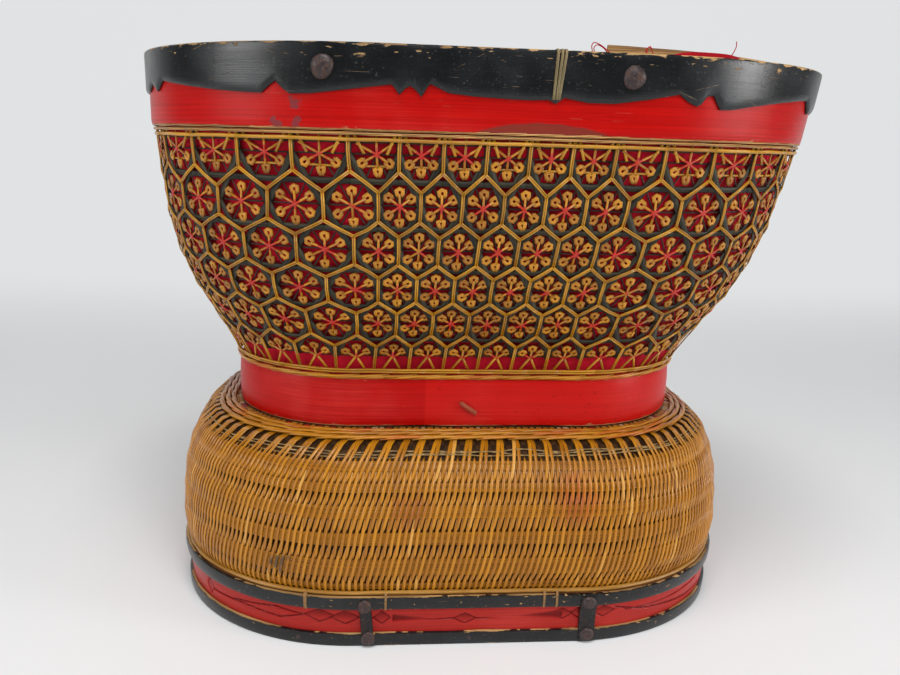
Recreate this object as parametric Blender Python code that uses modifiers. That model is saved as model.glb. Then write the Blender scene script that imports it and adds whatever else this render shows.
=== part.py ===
"""Hourglass basket of split bamboo, with lacquered bands at its foot, waist and rim.

Every level of the basket is one small core rectangle grown outwards by a radius, so its plan is a
rounded oblong everywhere. A wall, a band or a hoop is a profile of (radius, height) points that is
carried round that core. Metres, +Z up, origin on the floor under the middle of the rim.
"""
import math

import bmesh
import bpy
from mathutils import Vector

# Plan of the basket
core_half_length = 0.065
core_half_depth = 0.019
upper_lean = 0.012
corner_steps = 7

# Heights of the joints between the zones
waist_bottom = 0.1225
waist_band_height = 0.0285
rim_top = 0.332
rim_band_height = 0.04

# Radii grown from the core, measured to the outer face of the wall
foot_radius = 0.109
foot_flare = 0.0026
bulb_swell = 0.0047
waist_radius = 0.0765
rim_foot_radius = 0.133
rim_flare = 0.0034

# Clearances and finishing
touch_gap = 0.0003
merge_distance = 0.00001
hole_overrun = 0.0004
flat_edge = 0.0004

# Foot
foot_band_height = 0.031
foot_band_thickness = 0.0022
foot_band_lift = 0.0005
foot_hoop_height = 0.0082
foot_hoop_overlap = 0.0008
foot_hoop_thickness = 0.0023
hoop_edge_share = 0.7
cane_edge_height = 0.0022
cane_edge_width = 0.0016
inner_hoop_height = 0.0055
inner_hoop_thickness = 0.004
inner_hoop_base = 0.003
floor_thickness = 0.002
slat_width = 0.018
slat_height = 0.0042
slat_place = 0.045

# Walls
lower_wall_thickness = 0.0024
lower_wall_base = 0.003
bulb_step = 0.011
bulb_height = 0.014
cloth_thickness = 0.001
cloth_clearance = 0.0022
cloth_foot_height = 0.124
cloth_step_height = 0.0005
cloth_top_margin = 0.005

# Twined rows
twine_row_depth = 0.0018
shoulder_twine_gap = 0.0027
shoulder_twine_rows = 3
shoulder_twine_row = 0.0036
waist_twine_height = 0.0054
rim_twine_height = 0.0024

# Waist hoops
waist_band_thickness = 0.0025
waist_hoop_thickness = 0.0022
waist_hoop_margin = 0.0015
stitch_length = 0.012
stitch_rise = 0.0067
stitch_radius = 0.0009
stitch_base_share = 0.4

# Open-work net
net_columns = 40
net_thickness = 0.0013
net_strip_width = 0.0026
net_start = 0.0062
net_end = 0.0033

# Rim
red_band_thickness = 0.002
black_band_thickness = 0.0018
black_band_drop = 0.0205
rim_hoop_height = 0.032
rim_hoop_thickness = 0.0024
rim_top_step = 0.001
scallop_sag = 0.0035
scallop_tooth = 0.0045
inner_strip_thickness = 0.0015
inner_strip_height = 0.016
inner_strip_rise = 0.0042
inner_strip_start = 0.0445
inner_strip_end = 0.125
lashing_place = 0.020
lashing_width = 0.0055
lashing_thickness = 0.0007
lashing_drop = 0.0235

# Iron work
strap_width = 0.007
strap_thickness = 0.001
strap_places = (-0.060, 0.069)
strap_foot = 0.0012
strap_head = 0.0018
strap_nail_radius = 0.0038
strap_nail_dome = 0.0016
strap_nail_inset = 0.0045
rim_nail_radius = 0.0062
rim_nail_dome = 0.0026
rim_nail_drop = 0.0115
rim_nail_places = (-0.082, 0.057)
nail_shank_radius = 0.0013
shank_clearance = 0.0002
nail_sides = 8
nail_rings = 2

# Outlines as shares, from bottom to top: (height share, growth share)
lower_wall_shares = (
    (0.0, 0.0), (0.363, 0.043), (0.605, 0.141), (0.77, 0.265), (0.9, 0.43), (0.965, 0.64), (1.0, 1.0),
)
upper_wall_shares = (
    (0.0, 0.0), (0.08, 0.075), (0.2, 0.29), (0.33, 0.515),
    (0.48, 0.7), (0.65, 0.845), (0.82, 0.922), (1.0, 1.0),
)
# One ridge of a twined row: (share of the row's height, share of its depth)
twine_ridge_shares = ((0.0, 0.55), (0.5, 1.0))
# Centres of the six rows of flowers, as shares of the climb up the open-work wall, top row first
flower_row_shares = (0.938, 0.75, 0.593, 0.439, 0.284, 0.101)
# Places of the teeth in the black band, as shares of half the way round
tooth_place_shares = (-0.37, -0.228, -0.127, 0.05, 0.196, 0.36)
# One tooth and the arcs beside it: (share of the tooth's reach along the edge, drop share)
tooth_shares = ((-1.0, 0.0), (-0.5, 1.0), (0.0, 0.1), (0.5, 1.0), (1.0, 0.0))
tooth_reach = 0.0095
least_station = 0.0012

# Levels and radii that follow from the sizes above
waist_top = waist_bottom + waist_band_height
rim_bottom = rim_top - rim_band_height
neck_radius = waist_radius - waist_band_thickness
bulb_radius = foot_radius + bulb_swell
bulb_start = foot_band_height + bulb_step
bulb_end = bulb_start + bulb_height
lower_wall_top = waist_bottom - touch_gap
foot_top_hoop_top = foot_band_height + foot_hoop_overlap
foot_top_hoop_base = foot_top_hoop_top - foot_hoop_height

part_collection = bpy.data.collections.new("hourglass_basket")
cutter_collection = bpy.data.collections.new("cutters")


def clear_scene():
    for old in list(bpy.data.objects):
        bpy.data.objects.remove(old, do_unlink=True)
    for collection in (part_collection, cutter_collection):
        bpy.context.scene.collection.children.link(collection)


def make_material(name, colour, roughness, metallic=0.0):
    material = bpy.data.materials.new(name)
    material.use_nodes = True
    shader = material.node_tree.nodes["Principled BSDF"]
    shader.inputs["Base Color"].default_value = (*colour, 1.0)
    shader.inputs["Roughness"].default_value = roughness
    shader.inputs["Metallic"].default_value = metallic
    material.diffuse_color = (*colour, 1.0)
    return material


def interpolate(table, value):
    """Straight-line reading of a table of (x, y) pairs in rising x."""
    if value <= table[0][0]:
        return table[0][1]
    for (x0, y0), (x1, y1) in zip(table, table[1:]):
        if value <= x1:
            return y0 + (y1 - y0) * (value - x0) / (x1 - x0)
    return table[-1][1]


def lean_at(height):
    """Sideways shift of a level: the open-work top has settled towards +X."""
    climb = max(0.0, height - waist_top) / (rim_top - waist_top)
    return upper_lean * (climb - 1.0)


def foot_outer(height):
    return foot_radius + foot_flare * height / foot_band_height


def rim_outer(height):
    """Outer radius of the red rim band."""
    climb = (height - rim_bottom) / (rim_top - rim_bottom)
    return rim_foot_radius + red_band_thickness - touch_gap + rim_flare * climb


def upper_wall_radius(height):
    share = (height - waist_top) / (rim_bottom - waist_top)
    return waist_radius + (rim_foot_radius - waist_radius) * interpolate(upper_wall_shares, share)


def lower_wall_path():
    """Outer face of the close-woven wall, from inside the foot up to the neck in the waist."""
    inside_foot = touch_gap + foot_band_thickness
    path = [(foot_outer(lower_wall_base) - inside_foot, lower_wall_base)]
    path.append((foot_outer(foot_band_height) - inside_foot, foot_band_height + flat_edge))
    path.append((bulb_radius, bulb_start))
    for height_share, inward_share in lower_wall_shares:
        height = bulb_end + (lower_wall_top - bulb_end) * height_share
        path.append((bulb_radius - (bulb_radius - neck_radius) * inward_share, height))
    path.append((neck_radius, waist_top - touch_gap * 4))
    return path


def shoulder_height(radius):
    """Height of the wall's outer face on the shoulder, where the wall lies almost flat."""
    falling = [(r, h) for r, h in lower_wall_path() if h >= bulb_end and h <= lower_wall_top]
    return interpolate(sorted(falling), radius)


def cloth_path():
    """Outer face of the cloth: bound in at the neck, following the net, bound in at the rim."""
    neck = neck_radius - lower_wall_thickness - touch_gap
    path = [(neck, cloth_foot_height), (neck, waist_top - cloth_step_height)]
    inset = net_thickness + cloth_clearance
    levels = [waist_top + (rim_bottom - waist_top) * height_share for height_share, _ in upper_wall_shares]
    for low, height, high in zip(levels, levels[1:], levels[2:] + [levels[-1]]):
        slope = (upper_wall_radius(high) - upper_wall_radius(low)) / (high - low)
        path.append((upper_wall_radius(height) - inset * math.hypot(1, slope), height))
    for height in (rim_top - rim_hoop_height, rim_top - cloth_top_margin):
        path.append((rim_outer(height) - red_band_thickness - touch_gap, height))
    return path


def cloth_radius(height):
    return interpolate([(h, r) for r, h in cloth_path()], height)


quarter_way = math.pi / 2 * waist_radius
half_way_round = 2 * core_half_length + 2 * core_half_depth + 2 * quarter_way


def ways_between(first, last):
    """The two ends of a run round the basket, and every bend of the plan between them."""
    corner_starts = (core_half_length, core_half_length + quarter_way + 2 * core_half_depth)
    bends = [
        side * (start + quarter_way * step / corner_steps)
        for side in (-1, 1) for start in corner_starts for step in range(corner_steps + 1)
    ]
    return [first] + sorted(bend for bend in bends if first < bend < last) + [last]


def place(way, radius, height):
    """Point on a level, and its outward direction.

    The way is measured round the waist from the middle of the front, positive towards +X.
    The corners are faceted as sweep_round facets them.
    """
    side = -1.0 if way < 0 else 1.0
    left = abs(way)
    corner, corner_turn = None, 0.0
    if left <= core_half_length:
        x, y, normal = left, -core_half_depth - radius, Vector((0, -1, 0))
    elif left <= core_half_length + quarter_way:
        corner, corner_turn = -core_half_depth, (left - core_half_length) / waist_radius
    elif left <= core_half_length + quarter_way + 2 * core_half_depth:
        x, y = core_half_length + radius, left - core_half_length - quarter_way - core_half_depth
        normal = Vector((1, 0, 0))
    elif left <= core_half_length + 2 * quarter_way + 2 * core_half_depth:
        corner = core_half_depth
        corner_turn = (left - core_half_length - 2 * core_half_depth) / waist_radius
    else:
        x, y = half_way_round - left, core_half_depth + radius
        normal = Vector((0, 1, 0))
    if corner is not None:
        facet = math.pi / 2 / corner_steps
        step = int(corner_turn / facet)
        share = corner_turn / facet - step
        turns = (step * facet, (step + 1) * facet)
        begin, end = (Vector((math.sin(turn), -math.cos(turn), 0)) for turn in turns)
        reach = begin.lerp(end, share)
        normal = (begin + end).normalized()
        x, y = core_half_length + radius * reach.x, corner + radius * reach.y
    return Vector((side * x + lean_at(height), y, height)), Vector((side * normal.x, normal.y, 0))


def new_object(name, mesh_data, material, collection=part_collection):
    piece = bpy.data.objects.new(name, mesh_data)
    collection.objects.link(piece)
    mesh_data.materials.append(material)
    return piece


def turn_outwards(bm):
    """Point every face of an open wall away from the core that it stands round."""
    bm.normal_update()
    for face in bm.faces:
        middle = face.calc_center_median()
        across = middle.x - lean_at(middle.z)
        away_x = across - max(-core_half_length, min(core_half_length, across))
        away_y = middle.y - max(-core_half_depth, min(core_half_depth, middle.y))
        if face.normal.x * away_x + face.normal.y * away_y < 0:
            face.normal_flip()


def finish_mesh(name, bm, material, open_wall=False, smooth_angle=math.radians(40)):
    if open_wall:
        turn_outwards(bm)
    else:
        bmesh.ops.recalc_face_normals(bm, faces=bm.faces)
    mesh = bpy.data.meshes.new(name)
    bm.to_mesh(mesh)
    bm.free()
    mesh.shade_smooth()
    mesh.set_sharp_from_angle(angle=smooth_angle)
    return new_object(name, mesh, material)


def sweep_round(name, profile, material, closed=True):
    """Carry a profile of (radius, height) points once round the core rectangle."""
    bm = bmesh.new()
    start_y = -core_half_depth
    start = [bm.verts.new((core_half_length, start_y - radius, height)) for radius, height in profile]
    edges = [bm.edges.new(pair) for pair in zip(start, start[1:])]
    if closed:
        edges.append(bm.edges.new((start[-1], start[0])))
    length, depth = core_half_length, core_half_depth
    for centre, run in (
        ((length, -depth), (0, 2 * depth)), ((length, depth), (-2 * length, 0)),
        ((-length, depth), (0, -2 * depth)), ((-length, -depth), (2 * length, 0)),
    ):
        turned = bmesh.ops.spin(
            bm, geom=edges, cent=(*centre, 0), axis=(0, 0, 1), angle=math.pi / 2, steps=corner_steps,
        )
        edges = [item for item in turned["geom_last"] if isinstance(item, bmesh.types.BMEdge)]
        pulled = bmesh.ops.extrude_edge_only(bm, edges=edges)["geom"]
        moved = [item for item in pulled if isinstance(item, bmesh.types.BMVert)]
        bmesh.ops.translate(bm, verts=moved, vec=(*run, 0))
        pulled_edges = [item for item in pulled if isinstance(item, bmesh.types.BMEdge)]
        edges = [edge for edge in pulled_edges if all(vertex in moved for vertex in edge.verts)]
    bmesh.ops.remove_doubles(bm, verts=bm.verts, dist=merge_distance)
    for vertex in bm.verts:
        vertex.co.x += lean_at(vertex.co.z)
    return finish_mesh(name, bm, material, open_wall=not closed)


def add_thickness(piece, thickness):
    shell = piece.modifiers.new("wall", "SOLIDIFY")
    shell.thickness = thickness
    shell.offset = -1
    shell.use_even_offset = True
    return piece


def band_profile(outer_at, low, high, thickness):
    """A flat strip whose outer face follows outer_at."""
    return [
        (outer_at(low), low), (outer_at(high), high),
        (outer_at(high) - thickness, high), (outer_at(low) - thickness, low),
    ]


def hoop_profile(inner_at, low, high, thickness):
    """A split hoop: flat inside, crowned outside, with a flat at its top and bottom."""
    middle = (low + high) / 2
    edge = thickness * hoop_edge_share
    return [
        (inner_at(low), low), (inner_at(low) + edge, low), (inner_at(middle) + thickness, middle),
        (inner_at(high) + edge, high), (inner_at(high), high),
    ]


def dome_nail(name, point, normal, tilt, radius, dome, shank_length):
    """A forged nail: a flattened dome on a shank that fills its hole. Its origin is on the seat."""
    bm = bmesh.new()
    for ring in range(nail_rings + 1):
        turn = math.pi / 2 * ring / nail_rings
        across, height = radius * math.cos(turn), dome * math.sin(turn)
        if ring < nail_rings:
            for side in range(nail_sides):
                angle = 2 * math.pi * side / nail_sides
                bm.verts.new((across * math.cos(angle), across * math.sin(angle), height))
        else:
            bm.verts.new((0, 0, dome))
    for height in (0.0, -shank_length):
        for side in range(nail_sides):
            angle = 2 * math.pi * side / nail_sides
            bm.verts.new((nail_shank_radius * math.cos(angle), nail_shank_radius * math.sin(angle), height))
    bm.verts.ensure_lookup_table()
    rings = [bm.verts[start:start + nail_sides] for start in range(0, nail_rings * nail_sides, nail_sides)]
    tip = bm.verts[nail_rings * nail_sides]
    first = nail_rings * nail_sides + 1
    neck, end = bm.verts[first:first + nail_sides], bm.verts[first + nail_sides:first + 2 * nail_sides]
    for lower, upper in [(end, neck), (neck, rings[0])] + list(zip(rings, rings[1:])):
        for side in range(nail_sides):
            after = (side + 1) % nail_sides
            bm.faces.new((lower[side], lower[after], upper[after], upper[side]))
    for side in range(nail_sides):
        bm.faces.new((rings[-1][side], rings[-1][(side + 1) % nail_sides], tip))
    bm.faces.new(tuple(reversed(end)))
    nail = finish_mesh(name, bm, wrought_iron)
    outward = Vector((normal.x * math.cos(tilt), normal.y * math.cos(tilt), -math.sin(tilt)))
    nail.location = point
    nail.rotation_mode = "QUATERNION"
    nail.rotation_quaternion = outward.to_track_quat("Z", "Y")
    return nail


def drill(pieces, point, normal, tilt, depth, name):
    """Cut a shank hole through each piece, square to its face."""
    bm = bmesh.new()
    radius = nail_shank_radius + shank_clearance
    bmesh.ops.create_cone(
        bm, cap_ends=True, segments=nail_sides, radius1=radius, radius2=radius, depth=2 * depth,
    )
    mesh = bpy.data.meshes.new(name)
    bm.to_mesh(mesh)
    bm.free()
    cutter = bpy.data.objects.new(name, mesh)
    cutter_collection.objects.link(cutter)
    outward = Vector((normal.x * math.cos(tilt), normal.y * math.cos(tilt), -math.sin(tilt)))
    cutter.location = point
    cutter.rotation_mode = "QUATERNION"
    cutter.rotation_quaternion = outward.to_track_quat("Z", "Y")
    cutter.hide_render = True
    cutter.display_type = "WIRE"
    for piece in pieces:
        cut = piece.modifiers.new("shank hole", "BOOLEAN")
        cut.operation = "DIFFERENCE"
        cut.object = cutter


clear_scene()
black_lacquer = make_material("black_lacquer", (0.018, 0.02, 0.022), 0.35)
red_lacquer = make_material("red_lacquer", (0.5, 0.012, 0.008), 0.4)
red_cloth = make_material("red_cloth", (0.36, 0.006, 0.02), 0.8)
bare_bamboo = make_material("bare_bamboo", (0.5, 0.33, 0.14), 0.55)
golden_cane = make_material("golden_cane", (0.5, 0.25, 0.05), 0.4)
woven_bamboo = make_material("woven_bamboo", (0.38, 0.19, 0.05), 0.5)
wrought_iron = make_material("wrought_iron", (0.06, 0.045, 0.04), 0.6, 0.8)

# Foot: a lacquered band in the wall's foot, held by two hoops outside and one inside
sweep_round(
    "foot_band", band_profile(foot_outer, foot_band_lift, foot_band_height, foot_band_thickness), red_lacquer,
)


def foot_hoop_seat(height):
    return foot_outer(height) + touch_gap


sweep_round(
    "foot_bottom_hoop",
    hoop_profile(foot_hoop_seat, 0.0, foot_hoop_height, foot_hoop_thickness), black_lacquer,
)
sweep_round(
    "foot_top_hoop",
    hoop_profile(foot_hoop_seat, foot_top_hoop_base, foot_top_hoop_top, foot_hoop_thickness), black_lacquer,
)
cane_base = foot_top_hoop_top + touch_gap
cane_top = cane_base + cane_edge_height
wall_beside_cane = interpolate([(h, r) for r, h in lower_wall_path()[:3]], cane_top)
cane_inner = wall_beside_cane + touch_gap


def cane_outer(height):
    return cane_inner + cane_edge_width


sweep_round("foot_cane_edge", band_profile(cane_outer, cane_base, cane_top, cane_edge_width), bare_bamboo)
wall_inset = foot_band_thickness + lower_wall_thickness + 3 * touch_gap


def inner_hoop_outer(height):
    return foot_outer(height) - wall_inset


inner_hoop_top = inner_hoop_base + inner_hoop_height
sweep_round(
    "foot_inner_hoop",
    band_profile(inner_hoop_outer, inner_hoop_base, inner_hoop_top, inner_hoop_thickness), bare_bamboo,
)

# Floor: a woven oval on the inner hoop, stiffened by two slats that end against the hoop
floor_base = inner_hoop_top + touch_gap
floor_radius = foot_outer(floor_base) - wall_inset
bm = bmesh.new()
rim_points = []
for corner in range(4):
    centre_x = core_half_length * (1 if corner in (0, 1) else -1)
    centre_y = core_half_depth * (1 if corner in (1, 2) else -1)
    for step in range(corner_steps + 1):
        angle = math.pi / 2 * (corner - 1 + step / corner_steps)
        rim_points.append(bm.verts.new((
            centre_x + floor_radius * math.cos(angle) + lean_at(floor_base),
            centre_y + floor_radius * math.sin(angle), floor_base,
        )))
floor_face = bm.faces.new(rim_points)
lifted = bmesh.ops.extrude_face_region(bm, geom=[floor_face])["geom"]
bmesh.ops.translate(
    bm, verts=[item for item in lifted if isinstance(item, bmesh.types.BMVert)], vec=(0, 0, floor_thickness),
)
finish_mesh("base_floor", bm, woven_bamboo)
slat_top = floor_base - touch_gap
slat_base = slat_top - slat_height
slat_reach = core_half_depth + inner_hoop_outer(slat_base) - inner_hoop_thickness - touch_gap
for side, slat_name in ((-1, "floor_slat_left"), (1, "floor_slat_right")):
    bm = bmesh.new()
    bmesh.ops.create_cube(bm, size=1.0)
    bmesh.ops.scale(bm, verts=bm.verts, vec=(slat_width, 2 * slat_reach, slat_height))
    slat = finish_mesh(slat_name, bm, bare_bamboo)
    slat.location = (side * slat_place + lean_at(slat_base), 0, slat_base + slat_height / 2)

# Close-woven wall, from the foot over the shoulder and up the neck
add_thickness(sweep_round("lower_body", lower_wall_path(), woven_bamboo, closed=False), lower_wall_thickness)


def twine_profile(seat, outwards, count):
    """Rows of twining: a back along the seat, one ridge for each row.

    seat(share) gives a point of (radius, height) on the back, and outwards is the ridges' direction.
    """
    places = [(row + share, depth) for row in range(count) for share, depth in twine_ridge_shares]
    places.append((count, twine_ridge_shares[0][1]))
    front = []
    for turn, depth in places:
        radius, height = seat(turn / count)
        reach = depth * twine_row_depth
        front.append((radius + outwards[0] * reach, height + outwards[1] * reach))
    return front + [seat(row / count) for row in range(count, -1, -1)]


# Twined rows that bind the stakes on the shoulder
shoulder_span = shoulder_twine_rows * shoulder_twine_row


def shoulder_seat(share):
    radius = waist_radius + touch_gap + shoulder_twine_gap + shoulder_span * share
    fall = shoulder_height(radius) - shoulder_height(radius + shoulder_twine_row)
    lift = 2 * touch_gap * math.hypot(1, fall / shoulder_twine_row)
    return radius, shoulder_height(radius) + lift


sweep_round("shoulder_twine", twine_profile(shoulder_seat, (0.0, 1.0), shoulder_twine_rows), golden_cane)

# Waist: a lacquered band outside the neck and a bare hoop inside the cloth
def waist_outer(height):
    return waist_radius + touch_gap


sweep_round(
    "waist_band", band_profile(waist_outer, waist_bottom, waist_top, waist_band_thickness), red_lacquer,
)


def waist_hoop_outer(height):
    return neck_radius - lower_wall_thickness - cloth_thickness - 2 * touch_gap


sweep_round(
    "waist_inner_hoop",
    band_profile(waist_hoop_outer, cloth_foot_height, waist_top - waist_hoop_margin, waist_hoop_thickness),
    bare_bamboo,
)
stitch_curve = bpy.data.curves.new("waist_stitch", "CURVE")
stitch_curve.dimensions = "3D"
stitch_curve.bevel_depth = stitch_radius
stitch_curve.bevel_resolution = 1
stitch_curve.use_fill_caps = True
stitch_line = stitch_curve.splines.new("POLY")
stitch_points = 7
stitch_line.points.add(stitch_points - 1)
stitch_face = -core_half_depth - waist_outer(waist_top) - stitch_radius - touch_gap
stitch_base = waist_bottom + (waist_top - waist_bottom) * stitch_base_share
for index in range(stitch_points):
    share = index / (stitch_points - 1)
    bow = stitch_radius * math.sin(math.pi * share)
    stitch_line.points[index].co = (
        lean_at(stitch_base) + stitch_length * (share - 1 / 2),
        stitch_face - bow, stitch_base + stitch_rise * (1 / 2 - share), 1.0,
    )
new_object("waist_stitch", stitch_curve, golden_cane)

# Golden twined rows on top of the waist band
twine_base = waist_top + touch_gap
twine_top = twine_base + waist_twine_height


def waist_twine_seat(share):
    height = twine_base + waist_twine_height * share
    return cloth_radius(height) + 2 * touch_gap, height


sweep_round(
    "waist_twine",
    [waist_twine_seat(0.0), waist_twine_seat(1.0), (upper_wall_radius(twine_top), twine_top),
     (upper_wall_radius(twine_base), (twine_base + twine_top) / 2), (waist_radius, twine_base)],
    golden_cane,
)

# Cloth lining behind the open-work
add_thickness(sweep_round("cloth_lining", cloth_path(), red_cloth, closed=False), cloth_thickness)


# Open-work net: elongated hexagons, six rows of forty, between two border strips
def wall_climb_table():
    """Pairs of (climb along the wall, height), and the whole climb."""
    table, climb, last = [(0.0, waist_top)], 0.0, (waist_radius, waist_top)
    for height_share, _ in upper_wall_shares[1:]:
        height = waist_top + (rim_bottom - waist_top) * height_share
        radius = upper_wall_radius(height)
        climb += math.dist(last, (radius, height))
        table.append((climb, height))
        last = (radius, height)
    return table, climb


climb_table, whole_climb = wall_climb_table()
column_pitch = 2 * half_way_round / net_columns


def on_net(column, climb):
    """Point of the net's outer face: a column may be a half, and the climb runs up the wall."""
    height = interpolate(climb_table, climb)
    way = (column * column_pitch + half_way_round) % (2 * half_way_round) - half_way_round
    return place(way, upper_wall_radius(height), height)[0]


def strip_corner(joint, first, second):
    """Where the edges of two strips of one width meet beside the joint that they leave."""
    a, b = (first - joint).normalized(), (second - joint).normalized()
    return joint + (a + b) * (net_strip_width / 2 / a.cross(b).length)


def build_net():
    bm = bmesh.new()
    rows = [share * whole_climb for share in flower_row_shares]
    low, high = net_start + touch_gap, whole_climb - net_end - touch_gap
    half_pitch = column_pitch / 2
    columns = range(net_columns)
    joints = {}
    for gap in range(len(rows) - 1):
        drop = rows[gap] - rows[gap + 1]
        upper_offset = 0.5 * (gap % 2)
        for column in columns:
            tail = rows[gap] - (drop * drop - half_pitch * half_pitch) / (2 * drop)
            head = rows[gap] - (drop * drop + half_pitch * half_pitch) / (2 * drop)
            joints[("tail", gap, column)] = (column + upper_offset + 0.5, tail)
            joints[("head", gap, column)] = (column + upper_offset, head)

    def joint_point(key):
        return on_net(*joints[key])

    corners = {}
    for (kind, gap, column), (place_column, climb) in joints.items():
        here = on_net(place_column, climb)
        if kind == "tail":
            left = joint_point(("head", gap, column))
            right = joint_point(("head", gap, (column + 1) % net_columns))
            away = high if gap == 0 else joints[("head", gap - 1, 0)][1]
        else:
            left = joint_point(("tail", gap, (column - 1) % net_columns))
            right = joint_point(("tail", gap, column))
            away = low if gap == len(rows) - 2 else joints[("tail", gap + 1, 0)][1]
        straight = on_net(place_column, away)
        corners[(kind, gap, column)] = {
            "left": bm.verts.new(strip_corner(here, left, straight)),
            "right": bm.verts.new(strip_corner(here, right, straight)),
            "between": bm.verts.new(strip_corner(here, left, right)),
        }
        found = corners[(kind, gap, column)]
        bm.faces.new((found["left"], found["right"], found["between"]))

    for gap in range(len(rows) - 1):
        for column in columns:
            tail = corners[("tail", gap, column)]
            for side, head_column in (("left", column), ("right", (column + 1) % net_columns)):
                head = corners[("head", gap, head_column)]
                other = "right" if side == "left" else "left"
                bm.faces.new((tail[side], tail["between"], head[other], head["between"]))
            if gap:
                shift = (column + 1) % net_columns if gap % 2 == 1 else column
                above = corners[("head", gap - 1, shift)]
                bm.faces.new((tail["left"], tail["right"], above["right"], above["left"]))

    half_strip = net_strip_width / 2 / column_pitch
    for edge, kind, gap in ((high, "tail", 0), (low, "head", len(rows) - 2)):
        for column in columns:
            centre = joints[(kind, gap, column)][0]
            end = [bm.verts.new(on_net(centre + side * half_strip, edge)) for side in (-1, 1)]
            found = corners[(kind, gap, column)]
            bm.faces.new((found["left"], found["right"], end[1], end[0]))
    net = finish_mesh("openwork_lattice", bm, golden_cane, open_wall=True)
    return add_thickness(net, net_thickness)


build_net()

# Twined rows that close the open-work under the rim
rim_twine_top = rim_bottom - touch_gap
rim_twine_base = rim_twine_top - rim_twine_height


def rim_twine_seat(share):
    height = rim_twine_base + rim_twine_height * share
    return cloth_radius(height) + 2 * touch_gap, height


sweep_round("rim_twine", twine_profile(rim_twine_seat, (1.0, 0.0), 2), golden_cane)

# Rim: red band, black band over it, cloth and bare hoop inside
red_band = sweep_round(
    "rim_red_band",
    band_profile(rim_outer, rim_bottom, rim_top - rim_top_step, red_band_thickness), red_lacquer,
)


def black_inner(height):
    return rim_outer(height) + touch_gap


def black_edge_stations():
    """Pairs of (way, drop share) round the band's scalloped lower edge."""
    teeth = [share * half_way_round for share in tooth_place_shares]
    teeth += [(way + half_way_round) for way in teeth]
    teeth = sorted((way + half_way_round) % (2 * half_way_round) - half_way_round for way in teeth)
    table = []
    for tooth, after in zip(teeth, teeth[1:] + [teeth[0] + 2 * half_way_round]):
        table += [(tooth + share * tooth_reach, drop * scallop_tooth) for share, drop in tooth_shares]
        span = after - tooth - 2 * tooth_reach
        steps = max(2, round(span / column_pitch))
        for step in range(1, steps):
            share = step / steps
            table.append((tooth + tooth_reach + span * share, scallop_sag * math.sin(math.pi * share)))
    table = [(way - 2 * half_way_round, drop) for way, drop in table if way > half_way_round] + table
    table = sorted((way, drop) for way, drop in table if way <= half_way_round)
    bends = ways_between(-half_way_round, half_way_round)[:-1]
    ways = bends + [way for way, _ in table if all(abs(way - bend) > least_station for bend in bends)]
    before = (table[-1][0] - 2 * half_way_round, table[-1][1])
    after = (table[0][0] + 2 * half_way_round, table[0][1])
    table = [before] + table + [after]
    return [(way, interpolate(table, way)) for way in sorted(ways)]


def build_black_band():
    bm = bmesh.new()
    columns = []
    for way, drop in black_edge_stations():
        low = rim_top - black_band_drop - drop
        outer_low = black_inner(low) + black_band_thickness
        outer_top = black_inner(rim_top) + black_band_thickness
        columns.append([
            bm.verts.new(place(way, radius, height)[0])
            for radius, height in (
                (outer_low, low), (outer_top, rim_top),
                (outer_top - black_band_thickness, rim_top), (outer_low - black_band_thickness, low),
            )
        ])
    for here, after in zip(columns, columns[1:] + columns[:1]):
        for corner in range(4):
            following = (corner + 1) % 4
            bm.faces.new((here[corner], after[corner], after[following], here[following]))
    return finish_mesh("rim_black_band", bm, black_lacquer)


black_band = build_black_band()


def rim_hoop_face(height):
    return rim_outer(height) - red_band_thickness - cloth_thickness - 3 * touch_gap


sweep_round(
    "rim_inner_hoop",
    band_profile(rim_hoop_face, rim_top - rim_hoop_height, rim_top - touch_gap, rim_hoop_thickness),
    bare_bamboo,
)


def inner_strip_face(height):
    return rim_hoop_face(height) - rim_hoop_thickness - touch_gap


def build_inner_strip():
    """The innermost strip, whose square-cut end stands above the rim at the right of the front."""
    bm = bmesh.new()
    columns = []
    for way in ways_between(inner_strip_start, inner_strip_end):
        share = (way - inner_strip_start) / (inner_strip_end - inner_strip_start)
        top = rim_top + inner_strip_rise * (1 - share * share)
        base = top - inner_strip_height
        columns.append([
            bm.verts.new(place(way, radius, height)[0])
            for radius, height in (
                (inner_strip_face(base), base), (inner_strip_face(top), top),
                (inner_strip_face(top) - inner_strip_thickness, top),
                (inner_strip_face(base) - inner_strip_thickness, base),
            )
        ])
    for here, after in zip(columns, columns[1:]):
        for corner in range(4):
            following = (corner + 1) % 4
            bm.faces.new((here[corner], after[corner], after[following], here[following]))
    bm.faces.new(tuple(reversed(columns[0])))
    bm.faces.new(tuple(columns[-1]))
    return finish_mesh("rim_inner_strip", bm, bare_bamboo)


build_inner_strip()


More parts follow.
